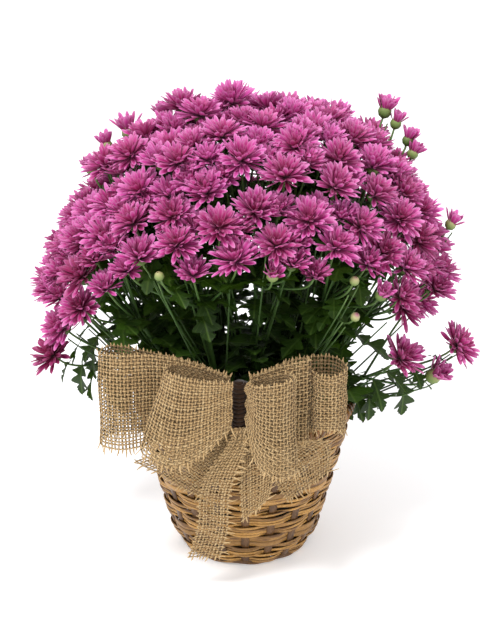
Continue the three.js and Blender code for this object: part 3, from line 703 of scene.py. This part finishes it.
def build_blooms():
    draw = draws(4711)
    inner_blooms()
    for number, spray in enumerate(sprays, 1):
        petals, cups, stalks, inner = Shape(), Shape(), Shape(), Shape()
        for bloom in spray.blooms + spray.inner:
            neck = bloom.centre - bloom.axis * bloom.radius * (0.9 if bloom.bud else 0.3)
            stalks.stalk(curved_stalk(spray.fork, neck, bloom.axis), (1.1, 0.85), 6, (0.3, 0.8))
            if bloom.bud:
                add_bud(cups, petals, bloom, draw)
            elif bloom in spray.inner:
                add_bloom(inner, cups, bloom, draw, INNER_LAYERS)
            else:
                add_bloom(petals, cups, bloom, draw)
        stalks.tube([spray.fork - spray.heading * 3, spray.fork, spray.fork + spray.heading * 3],
                    [1.9, 2.6, 1.6], 8, tone=0.5)
        node = f"bloom_spray_{number:02d}"
        petals.make(f"petals_{number:02d}", PETAL, "petals", [node])
        cups.make(f"bloom_cups_{number:02d}", BUD, "leaf_and_stem", [node])
        stalks.make(f"bloom_stalks_{number:02d}", STEM, "leaf_and_stem", [node])
        if spray.inner:
            inner.make(f"inner_petals_{number:02d}", PETAL, "petals")


# Leaves and stems.

# Half width of a leaf along its length, with two pairs of side lobes and a toothed end lobe.
LEAF_ALONG = np.array([0, 0.1, 0.2, 0.24, 0.29, 0.33, 0.37, 0.42, 0.46, 0.51, 0.56, 0.61, 0.65, 0.69,
                       0.72, 0.76, 0.8, 0.84, 0.87, 0.91, 0.94, 1.0])
LEAF_HALF = np.array([0.02, 0.022, 0.03, 0.13, 0.2, 0.29, 0.26, 0.15, 0.085, 0.17, 0.27, 0.34, 0.35, 0.24,
                      0.11, 0.15, 0.19, 0.14, 0.15, 0.09, 0.08, 0.0])
LEAF_COLUMNS = np.array([-1, -0.55, 0, 0.55, 1])


def add_leaf(shape, leaf, draw, tone=None, columns=LEAF_COLUMNS):
    half = LEAF_HALF * (1 + 0.12 * draw(-1, 1))
    along = LEAF_ALONG[:, None] + 0.28 * half[:, None] * np.abs(columns)[None, :] ** 1.5 \
        * (LEAF_ALONG[:, None] < 0.98)
    wide = half[:, None] * columns[None, :]
    pairs = np.stack([np.minimum(along, 1.02), wide], -1)
    phase = draw(0, 6)
    ripple = leaf.length * 0.035 * np.sin(13 * along + phase) * np.abs(columns)[None, :]
    points = leaf.spots(pairs) + ripple[..., None] * leaf.up
    shape.grid(points, closed=(False, False), along=along, across=wide,
               tone=draw(0, 1) if tone is None else tone)


# Leaves that hang beside the bow: stem, bloom whose stalk they grow on or None for the stem
# itself, share of the way along it, azimuth and rise in radians, length.
HANGING_LEAVES = [
    (15, 0, 0.25, 3.3, -1.0, 36), (15, 0, 0.5, 3.7, -1.2, 30), (15, 0, 0.7, 2.9, -0.9, 26),
    (15, 1, 0.2, 3.5, -1.25, 40), (15, 1, 0.4, 3.0, -1.1, 38), (15, 1, 0.6, 3.9, -1.2, 32),
    (15, 1, 0.75, 3.3, -0.9, 24), (15, 1, 0.05, 3.8, -1.1, 44), (15, 2, 0.3, 3.4, -0.8, 34),
    (15, 2, 0.6, 3.9, -0.5, 28), (15, 2, 0.8, 2.8, -0.6, 22),
    (15, None, 0.9, 3.3, -1.0, 46), (15, None, 0.95, 3.8, -0.8, 42), (15, None, 0.85, 2.9, -0.7, 40),
    (16, 3, 0.05, -0.9, -1.2, 38), (16, 3, 0.3, 0.1, -0.5, 28), (16, 3, 0.55, -0.9, -1.25, 34),
    (16, 3, 0.75, 0.3, -0.5, 20), (16, 0, 0.2, -1.0, -0.7, 32), (16, 0, 0.5, -0.4, -0.4, 28),
    (16, 1, 0.25, 0.1, -0.3, 30), (16, 1, 0.5, -0.9, -0.6, 24), (16, 1, 0.7, 0.2, -0.2, 20),
    (16, None, 0.9, -0.7, -0.8, 36), (16, None, 0.95, -0.1, -0.5, 34), (16, 2, 0.3, 0.2, -0.3, 34),
    (13, None, 0.5, -0.6, -0.35, 44), (12, None, 0.5, 3.6, -0.3, 44), (13, None, 0.65, -0.9, -0.1, 42),
    (12, None, 0.7, 4.0, -0.1, 40),
]
# A small leaf whose drawn kind is under the first of these limits grows low on a middle stem,
# under the next anywhere on a stem, then low on a stalk, and the others higher on a stalk. A
# place that is taken counts as MISSED_TRY of a leaf.
LOW_KIND, STEM_KIND, STALK_KIND, MIDDLE_STEMS = 0.16, 0.48, 0.76, 9
FILL_LEAVES, SHOOTS, MISSED_TRY = 2000, 140, 0.2
# They stay in a smaller dome, most of the lower ones at the front in one smaller still, or in the
# plant's neck over the pot.
COVER, FRONT_COVER, FRONT_SHARE, FRONT_TOP = 0.9, 0.76, 0.8, 270
NECK_RADIUS, NECK_TOP = 96, 190


def build_leaves():
    draw = draws(909)
    for spray in sprays:
        spray.fill, spray.shoots = Shape(), Shape()
    for number, stalk, share, azimuth, rise, length in HANGING_LEAVES:
        spray = sprays[number - 1]
        if stalk is None:
            root = spray.bend(share)
        else:
            root = spray.fork + (spray.blooms[stalk].centre - spray.fork) * share
        add_leaf(spray.fill, Leaf(root, azimuth, rise, length), draw, 0.3)
    placed = 0
    while placed < FILL_LEAVES:
        kind = draw(0, 1)
        spray = pick(draw, sprays[:MIDDLE_STEMS] if kind < LOW_KIND else sprays)
        bloom = pick(draw, spray.blooms)
        if kind < LOW_KIND:
            root = spray.bend(draw(0.1, 0.55))
        elif kind < STEM_KIND:
            root = spray.bend(draw(0.2, 1))
        else:
            share = draw(0.05, 0.75) if kind < STALK_KIND else draw(0.5, 0.9)
            root = spray.fork + (bloom.centre - spray.fork) * share
        azimuth = math.atan2(root[1], root[0]) + draw(-1.9, 1.9)
        leaf = Leaf(root, azimuth, draw(-0.45, 0.8), draw(23, 39))
        spots = leaf.spots(LEAF_SPOTS)
        deeper = root[1] < 0 and root[2] < FRONT_TOP and draw(0, 1) < FRONT_SHARE
        outer = DOME_HALF * (FRONT_COVER if deeper else COVER)
        inside = (((spots - DOME_CENTRE) / outer) ** 2).sum(1) < 1
        inside |= (np.hypot(spots[:, 0], spots[:, 1]) < NECK_RADIUS) & (spots[:, 2] < NECK_TOP)
        if in_the_way(spots).any() or not inside.all():
            placed += MISSED_TRY
            continue
        add_leaf(spray.fill, leaf, draw, None, LEAF_COLUMNS[::2])
        placed += 1
    for _ in range(SHOOTS):
        spray = pick(draw, sprays)
        bloom = pick(draw, spray.blooms)
        end = bloom.centre - bloom.axis * draw(6, 14) + [draw(-9, 9), draw(-9, 9), draw(-6, 0)]
        path = curved_stalk(spray.bend(draw(0.1, 0.7)), end, bloom.axis, 8)
        spray.shoots.stalk(path, (0.85, 0.6), 5, (0.1, 0.7))
    for number, spray in enumerate(sprays, 1):
        stems, blades = Shape(), Shape()
        path = [spray.path[0], *map(spray.bend, np.linspace(0, 1, 12)), spray.path[-1]]
        stems.stalk(path, (2.3, 1.85), 9, (0.1, 0.5))
        for leaf in leaves:
            if leaf.spray is spray:
                add_leaf(blades, leaf, draw)
        node = f"leafy_stem_{number:02d}"
        stems.make(f"stem_{number:02d}", STEM, "leaf_and_stem", [node])
        blades.make(f"leaves_{number:02d}", LEAF, "leaf_and_stem", [node])
        spray.fill.make(f"small_leaves_{number:02d}", LEAF, "leaf_and_stem")
        if spray.shoots.count:
            spray.shoots.make(f"thin_shoots_{number:02d}", STEM, "leaf_and_stem")


# Basket, pot and soil.

def basket_radius(z):
    return np.interp(z, BASKET_HEIGHTS, BASKET_RADII)


def build_basket():
    draw = draws(31)
    steps = STAKES * 8
    angle = np.arange(steps) * TURN / steps
    outward = turned(angle)
    swing = np.cos(angle * STAKES / 2)
    weave = np.sign(swing) * np.abs(swing) ** 0.6
    row_height = (BASKET_TOP - BASKET_FOOT) / WEAVE_ROWS
    strands = Shape()
    for row in range(WEAVE_ROWS):
        low = BASKET_FOOT + row_height * row
        flat_row = row in FLAT_ROWS
        count = 2 if flat_row else 4
        for k in range(count):
            height = row_height / count
            z = low + height * (k + 0.5)
            phase = draw(0, 6)
            levels = z + 0.9 * np.sin(angle * 3 + phase) + 0.5 * np.sin(angle * 7 + 2 * phase)
            radius = basket_radius(levels) - STRAND_INSET \
                + STRAND_SWING * weave * (-1 if row % 2 else 1) + 0.35 * np.sin(angle * 11 + phase)
            path = outward * radius[:, None] + levels[:, None] * UP
            half = height / 2 * draw(1.0, 1.3)
            columns = np.array([-1, -0.6, 0, 0.6, 1, 0.6, 0, -0.6])
            thick = np.array([0, 0.75, 0.9, 0.75, 0, -0.5, -0.5, -0.5]) * (0.9 if flat_row else 1.0)
            lean = np.gradient(basket_radius(levels + np.array([[-1], [1]])), axis=0)[0]
            # edge runs from 0 in a strand's middle to 1 at its edges, where the material paints shade.
            strands.strip(path, UP + lean[:, None] / 2 * outward, outward, half * columns, thick,
                          along=(angle * 70)[:, None], across=columns * half / 2, tone=draw(-1, 1),
                          edge=np.abs(columns))
    strands.make("basket_strands", SPLINT, "basket_splint", ["basket_wall"])
    stakes = Shape()
    for k in range(STAKES):
        theta = k * TURN / STAKES
        out = np.array([math.cos(theta), math.sin(theta), 0])
        side = np.array([-math.sin(theta), math.cos(theta), 0])
        z = np.linspace(1.5, BASKET_TOP, 24)
        path = out * (basket_radius(z) - STAKE_INSET)[:, None] + z[:, None] * UP
        columns = np.array([-1, 0, 1, 1, 0, -1]) * 3.4
        thick = np.array([0.5, 0.9, 0.5, -0.8, -0.8, -0.8])
        stakes.strip(path, side, out, columns, thick, False, along=z[:, None], across=columns * 0.3,
                     tone=draw(-1, 1))
    for level, radius in ((1.6, 53.6), (4.2, 55.2)):
        edge = outward * (radius + 1.1 * np.cos(angle * STAKES / 2 + level))[:, None] + level * UP
        stakes.tube(edge, 1.5, 7, facing=UP, round_trip=True, along=angle * 60, across=0.0, tone=draw(-1, 1))
    stakes.make("basket_stakes", STAKE, "basket_splint", ["basket_wall"])
    rim = Shape()
    turns, samples = RIM_TURNS, 12
    t = np.arange(turns * samples) / (turns * samples)
    around, wrap = t * TURN, t * turns * TURN
    out = turned(around)
    ring = turned(wrap, out * (RIM_HALF_WIDTH - STRIP_DEPTH), UP * (RIM_HALF_HEIGHT - STRIP_DEPTH))
    path = out * RIM_RADIUS + UP * RIM_HEIGHT + ring
    columns, thick = np.array([-1, 0, 1, 0]) * 3.5, np.array([0, 0.55, 0, -0.4])
    outward_ring = ring / np.linalg.norm(ring, axis=1)[:, None]
    rim.strip(path, np.cross(UP, out), outward_ring, columns, thick, along=(t * turns * 30)[:, None],
              across=columns * 0.4, tone=0.3 * np.sin(wrap / 9)[:, None])
    core = out[::4] * RIM_RADIUS + UP * RIM_HEIGHT
    rim.tube(core, 4.0, 10, facing=UP, round_trip=True, along=around[::4] * 80, across=0.0, tone=0.8)
    rim.make("basket_rim_wrapped", CANE, "basket_rim_cane", ["basket_rim"])


CRUMB_CORNERS = np.array([(1, 0, 0), (0, 1, 0), (-1, 0, 0), (0, -1, 0), (0, 0, 1), (0, 0, -1)], float)
CRUMB_FACES = np.array([(0, 1, 4), (1, 2, 4), (2, 3, 4), (3, 0, 4),
                        (1, 0, 5), (2, 1, 5), (3, 2, 5), (0, 3, 5)])
CRUMBS = 260


def build_base_pot_soil():
    draw = draws(8)
    base = Shape()
    for k in range(13):
        y = -46 + k * 7.7
        half = math.sqrt(max(49.8 ** 2 - y * y, 25))
        x = np.linspace(-half, half, 14)
        path = np.stack([x, np.full_like(x, y), 2.5 + 1.1 * np.sin(x / 8 + k * math.pi)], 1)
        for line in (path, path[:, [1, 0, 2]] * [1, 1, -1] + [0, 0, 5.0]):
            base.tube(line, 3.7, 6, 0.32, UP, along=x + 50, across=0.0, tone=draw(-1, 1))
    base.make("basket_base_woven", STAKE, "basket_base_splint", ["basket_base"])

    pot = Shape()
    slope = (POT_TOP_RADIUS - POT_FOOT_RADIUS) / (POT_TOP - POT_FLOOR)
    at = lambda z: POT_FOOT_RADIUS + slope * (z - POT_FLOOR)
    top = at(POT_TOP)
    profile = np.array([(12, POT_FLOOR), (44, POT_FLOOR), (45, POT_FLOOR + 1), (at(108), 108),
                        (at(108) + 2.4, 109.5), (top + 2.6, POT_TOP - 1), (top + 2, POT_TOP),
                        (top - 1, POT_TOP), (at(116) - POT_WALL, 116), (43.5, POT_FLOOR + POT_WALL),
                        (12, POT_FLOOR + POT_WALL)])
    angle = np.arange(64) * TURN / 64
    out = turned(angle)
    pot.grid(out[:, None, :] * profile[None, :, :1] + profile[None, :, 1:] * UP, closed=(True, True))
    pot.make("grower_pot_moulded", PLASTIC, "grower_pot_plastic", ["grower_pot"])

    soil = Shape()
    rings = np.array([0.0, 8, 16, 24, 32, 40, 48, 56, 63, 69, 72])
    rough = np.array([[draw(-1.6, 1.2) for _ in angle] for _ in rings])
    rough[0] = 0
    soil.grid(out[None] * rings[:, None, None] + (SOIL_TOP + rough)[..., None] * UP)
    wall = np.array([(72, SOIL_TOP - 1), (at(60) - 2, 60), (at(8) - 2, 8), (0.1, 8)])
    soil.grid(out[None] * wall[:, None, :1] + wall[:, None, 1:] * UP)
    for _ in range(CRUMBS):
        theta, r, size = draw(0, 6.283), 70 * math.sqrt(draw(0, 1)), draw(0.8, 2.6)
        centre = np.array([r * math.cos(theta), r * math.sin(theta), SOIL_TOP + size * 0.2])
        corners = CRUMB_CORNERS * size * np.array([draw(0.6, 1) for _ in range(6)])[:, None]
        soil.add(centre + corners, CRUMB_FACES)
    soil.make("potting_soil_loose", SOIL, "potting_soil", ["soil"], smooth=False)


# Bow. Stations along each ribbon, as the solid part has them: one edge, then the other.

RIBBONS = {
    "bow_loop_left_front": [
        (-9, -119.5, 203, -9, -119.5, 164), (-30, -127, 207, -34, -129, 143),
        (-50, -129, 212, -60, -133, 134),
        (-62, -119, 214, -83, -121, 144), (-55, -109, 214, -72, -109, 146), (-32, -106, 208, -40, -105, 152),
        (-11, -109, 200, -11, -109, 165)],
    "bow_loop_left_back": [
        (-11, -103.5, 200, -11, -103.5, 162), (-40, -98, 210, -40, -98, 146), (-72, -98, 217, -72, -99, 139),
        (-100, -103, 219, -100, -107, 137), (-116, -97, 219, -117, -98, 138),
        (-108, -86, 221, -108, -86, 141),
        (-70, -87, 214, -70, -87, 144), (-40, -91, 206, -40, -91, 150), (-11, -99.5, 198, -11, -99.5, 164)],
    "bow_loop_right_front": [
        (1, -118, 202, 1, -117, 166), (10, -133, 206, 8, -138, 140), (26, -139, 211, 26, -144, 130),
        (38, -130, 212, 41, -133, 131), (32, -117, 210, 34, -119, 138), (16, -114, 205, 16, -115, 150),
        (3, -111.5, 200, 3, -111.5, 166)],
    "bow_loop_right_middle": [
        (3, -108.3, 201, 3, -108.3, 166), (22, -110, 210, 22, -110, 152), (40, -112, 217, 40, -112, 146),
        (51, -108, 218, 51, -109, 147), (42, -104.5, 217, 42, -104.5, 148),
        (22, -105.5, 209, 22, -105.5, 154),
        (3, -104.8, 200, 3, -104.8, 166)],
    "bow_loop_right_back": [
        (3, -102, 200, 3, -102, 166), (30, -99, 206, 30, -99, 152), (49, -100, 207, 50, -100, 152),
        (59, -113, 206, 59, -115, 158), (72, -113, 206, 72, -115, 158), (80, -101, 208, 81, -101, 152),
        (71, -88, 211, 71, -88, 146), (40, -89, 210, 40, -89, 148), (3, -99.3, 198, 3, -99.3, 167)],
    "bow_tail_left": [
        (-9, -103, 155.5, -5, -103, 155.5), (-20, -105, 151, -9, -106, 138),
        (-40, -104, 145, -14, -106, 122),
        (-64, -101, 134, -24, -103, 106), (-91, -93, 120, -37, -98, 90)],
    "bow_tail_long": [
        (-7, -115.9, 163, 0, -115.9, 163), (-13, -116.5, 148, 1, -116.5, 148),
        (-30, -118, 124, -6, -118, 124),
        (-37, -114, 100, -12, -115, 100), (-39, -105, 65, -14, -106, 65), (-48, -96, 32, -20, -98, 34)],
    "bow_tail_middle": [
        (-4, -107, 155.5, 1, -107, 155.5), (-2, -110, 142, 10, -110, 146), (-4, -112, 120, 22, -111, 133),
        (-4, -108, 92, 23, -107, 112), (-2, -103, 70, 19, -103, 91)],
    "bow_tail_right": [
        (-2, -101, 155.5, 2, -101, 155.5), (6, -104, 142, 16, -102, 149), (13, -105, 126, 40, -101, 144),
        (23, -102, 106, 67, -92, 138), (34, -98, 86, 70, -82, 105)],
}
YARN_SPACING, YARN_HALF_WIDTH, YARN_HALF_THICK, YARN_SWING = 2.9, 0.7, 0.42, 0.46
# A yarn's bared value is painted light and shade, from 1 in the light to 0 in deep painted shade.
# A woven yarn's four corners gain where it rides over and lose where it dives, and those inside a loop keep
# only a share, as painted shade inside the loop.
END_BARED, WOVEN_BARED, RIDE_BARED, SHADED_SHARE = 0.9, 0.56, 0.4, 0.5
CORNER_RIDE, CORNER_SIDE = np.array([0.3, 1, 0.3, -1]), np.array([0, 1, 0, -1])
KNOT, TIE_TURNS, TIE_FOOT, TIE_RISE, TIE_CORD = (-4.0, -105.5), 11, 158, 38, 2.1


def smooth_line(points, shares):
    """A centripetal curve through the points, at shares from 0 to 1 of its stations."""
    points = np.asarray(points, float)
    padded = np.concatenate([[2 * points[0] - points[1]], points, [2 * points[-1] - points[-2]]])
    place = np.asarray(shares) * (len(points) - 1)
    index = np.minimum(place.astype(int), len(points) - 2)
    weight = (place - index)[:, None]
    p0, p1, p2, p3 = (padded[index + k] for k in range(4))
    d0, d1, d2 = (np.sqrt(np.linalg.norm(b - a, axis=1))[:, None] for a, b in ((p0, p1), (p1, p2), (p2, p3)))
    t1 = ((p1 - p0) / d0 - (p2 - p0) / (d0 + d1) + (p2 - p1) / d1) * d1
    t2 = ((p2 - p1) / d1 - (p3 - p1) / (d1 + d2) + (p3 - p2) / d2) * d1
    return (p1 + t1 * weight + (-3 * p1 + 3 * p2 - 2 * t1 - t2) * weight ** 2
            + (2 * p1 - 2 * p2 + t1 + t2) * weight ** 3)


class Ribbon:
    """One ribbon's surface: point(along, across) with along in mm and across from 0 to 1."""

    def __init__(self, stations, draw):
        stations = np.array(stations, float)
        shares = np.linspace(0, 1, 241)
        self.edges = [smooth_line(stations[:, :3], shares), smooth_line(stations[:, 3:], shares)]
        middle = (self.edges[0] + self.edges[1]) / 2
        self.lengths = np.concatenate([[0], np.cumsum(np.linalg.norm(np.diff(middle, axis=0), axis=1))])
        self.length = self.lengths[-1]
        self.width = max(np.linalg.norm(self.edges[1] - self.edges[0], axis=1))
        self.phase = [draw(0, 6.28) for _ in range(4)]

    def edge(self, which, along):
        return np.stack([np.interp(along, self.lengths, self.edges[which][:, k]) for k in range(3)], -1)

    def point(self, along, across):
        a, b = self.edge(0, along), self.edge(1, along)
        width = np.linalg.norm(b - a, axis=-1)
        gather = np.clip(1 - width / self.width, 0, 0.6)
        normal = self.normal(along)
        fold = gather * 2.0 * np.sin(across * TURN * 3 + self.phase[0])
        drape = (0.7 * np.sin(along / 23 + self.phase[1] + across * 2.2)
                 + 0.5 * np.sin(across * 9 + self.phase[2]))
        return a + (b - a) * across[..., None] + (fold + drape * (1 - gather))[..., None] * normal

    def normal(self, along):
        near, far = np.maximum(along - 1.5, 0), np.minimum(along + 1.5, self.length)
        ahead = (self.edge(0, far) + self.edge(1, far)) - (self.edge(0, near) + self.edge(1, near))
        across = self.edge(1, along) - self.edge(0, along)
        normal = np.cross(ahead, across)
        return normal / np.linalg.norm(normal, axis=-1, keepdims=True)


def add_yarn(shape, path, normal, half_width, tone, along, lift=None, shaded=0):
    """A flat four-sided yarn along a path; each point has its own normal, half width and lift.
    Its faces under a crossing yarn get painted shade, and so do those on the inner side of a loop."""
    ahead = np.gradient(path, axis=0)
    side = np.cross(normal, ahead)
    side /= np.linalg.norm(side, axis=1)[:, None]
    half_width = half_width[:, None]
    ring = np.stack([path + side * half_width, path + normal * YARN_HALF_THICK, path - side * half_width,
                     path - normal * YARN_HALF_THICK], 1)
    start = shape.count
    bared = END_BARED
    if lift is not None:
        bared = (WOVEN_BARED + RIDE_BARED * lift[:, None] * CORNER_RIDE) \
            * np.where(shaded * CORNER_SIDE > 0, SHADED_SHARE, 1)
    shape.grid(ring, along=along[:, None], tone=tone, bared=bared)
    shape.faces.append(np.array([(3, 2, 1, 0), np.arange(4) + 4 * len(path) - 4]) + start)


def add_frayed_end(fringe, path, normal, end, reach, draw):
    """The loose end of one yarn, past the outermost yarn that crosses it."""
    out = unit(path[end] - path[1 if end == 0 else -2])
    bend = normal[end] * draw(-0.5, 0.6) + unit(np.cross(normal[end], out)) * draw(-0.45, 0.45)
    points = np.array([path[end], path[end] + out * reach * 0.5 + bend * reach * 0.12,
                       path[end] + out * reach + bend * reach * 0.5])
    add_yarn(fringe, points, np.repeat(normal[end][None], 3, 0), np.array([0.75, 0.6, 0.3]),
             draw(-0.4, 1), np.array([0.0, 3, 6]))


def build_ribbon(name, stations, draw):
    ribbon = Ribbon(stations, draw)
    wefts, warps = int(ribbon.length / YARN_SPACING), int(ribbon.width / YARN_SPACING)
    wander = lambda count, size: np.array([draw(-size, size) for _ in range(count)])
    weft_at = (np.arange(wefts) + 0.5) / wefts * ribbon.length + wander(wefts, 0.22)
    warp_at = (np.arange(warps) + 0.5) / warps + wander(warps, 0.22 / ribbon.width)
    cloth, fringe = Shape(), Shape()
    # Which side of the cloth faces into a loop, where the yarns get painted shade.
    inside = -1 if "loop_left" in name else 1 if "loop_right" in name else 0
    checker = np.where((np.arange(wefts)[:, None] + np.arange(warps)[None, :]) % 2, 1.0, -1.0)

    def slub(places):
        wave = 0.14 * np.sin(places / draw(7, 15) + draw(0, 6)) + wander(len(places), 0.08)
        return YARN_HALF_WIDTH * draw(0.9, 1.06) * (1 + wave)

    def weave(along, across, lift, places, loose_ends):
        normal = ribbon.normal(along)
        path = ribbon.point(along, across) + normal * (YARN_SWING * lift)[:, None]
        add_yarn(cloth, path, normal, slub(places), draw(-1, 1), places + draw(0, 500), lift, inside)
        for end, shortest, longest in loose_ends:
            add_frayed_end(fringe, path, normal, end, draw(shortest, longest), draw)
    for k, across in enumerate(warp_at):
        across = across + 0.3 / ribbon.width * np.sin(weft_at / 19 + draw(0, 6))
        weave(weft_at, across, checker[:, k], weft_at, [(-1, 2, 7)] if "tail" in name else [])
    for k, along in enumerate(weft_at):
        along = along + 0.25 * np.sin(warp_at * 12 + draw(0, 6))
        weave(along, warp_at, -checker[k], warp_at * ribbon.width, [(0, 1.5, 3.5), (-1, 1.5, 8.5)])
    piece = cloth.make(f"{name}_cloth", JUTE, "burlap", [name], smooth=False)
    edge = fringe.make(f"{name}_fringe", JUTE, "burlap", smooth=False)


def build_bow():
    draw = draws(5150)
    tie = Shape()
    x, y = KNOT
    t = np.linspace(0, 1, TIE_TURNS * 12)
    wrap = t * TIE_TURNS * TURN
    waist = 0.8 + 0.2 * np.abs(np.sin(t * TURN))
    path = np.stack([x + 5.6 * waist * np.cos(wrap), y + 8.4 * waist * np.sin(wrap),
                     TIE_FOOT + TIE_RISE * t], 1)
    # The tie, its core and its wire get low bared values: painted shade, dark all over, for the shade deep
    # in the knot.
    tie.tube(path, TIE_CORD, 6, facing=UP, along=t * 300, tone=-0.6, bared=0.15)
    core = np.stack([np.full(5, x), np.full(5, y), np.linspace(157, 197, 5)], 1)
    tie.tube(core, 4.5, 8, along=np.linspace(0, 40, 5), tone=-0.9, bared=0.1)
    wire = np.array([(x, -99, 176), (x, -94, 168), (x, -RIM_RADIUS, 154), (x, -RIM_RADIUS, 138.6)])
    tie.tube(wire, 0.9, 6, along=np.linspace(0, 40, 4), tone=-0.5, bared=0.2)
    tie.make("bow_tie_wrapped", JUTE, "tie_jute", ["bow_tie"])
    for name, stations in RIBBONS.items():
        build_ribbon(name, stations, draw)


build_blooms()
build_leaves()
build_basket()
build_base_pot_soil()
build_bow()


# Floor, light and camera.

def build_set():
    scene = bpy.context.scene
    mesh = bpy.data.meshes.new("studio_floor")
    reach = 40.0
    mesh.from_pydata([(-reach, -reach, 0), (reach, -reach, 0), (reach, reach, 0), (-reach, reach, 0)], [],
                     [(0, 1, 2, 3)])
    floor = place("studio_floor", mesh)
    table = Material("acrylic_light_table_white")
    matt = table.node("BsdfDiffuse", {"Color": linear(0xF7F7F8)}).outputs[0]
    lit = table.node("Emission", {"Color": linear(0xFFFFFF), "Strength": 0.22}).outputs[0]
    both = table.node("AddShader", {0: matt, 1: lit}).outputs[0]
    table.node("OutputMaterial", {"Surface": both})
    mesh.materials.append(table.material)

    world = bpy.data.worlds.new("studio")
    scene.world = world
    world.use_nodes = True
    background = world.node_tree.nodes["Background"]
    background.inputs["Color"].default_value = linear(0xFFFFFF)
    background.inputs["Strength"].default_value = 1.0

    def area(name, where, aim, size, power):
        light = bpy.data.lights.new(name, "AREA")
        light.shape, light.size, light.energy = "DISK", size, power
        lamp = place(name, light)
        lamp.location = where
        lamp.rotation_mode = "QUATERNION"
        lamp.rotation_quaternion = (Vector(aim) - Vector(where)).to_track_quat("-Z", "Y")
    area("key_softbox", (-0.8, -1.2, 2.3), (0, 0, 0.2), 0.6, 42)
    area("fill_softbox", (1.5, -1.2, 1.2), (0, 0, 0.2), 1.2, 4)

    camera_data = bpy.data.cameras.new("camera")
    camera_data.lens, camera_data.sensor_width = 95.9, 36
    camera = place("camera", camera_data)
    camera.location = (0, -1.299, 0.750)
    camera.rotation_euler = (math.radians(67.5), 0, math.radians(-0.19))
    scene.camera = camera
    scene.view_settings.view_transform = "Standard"
    scene.view_settings.look = "None"


build_set()
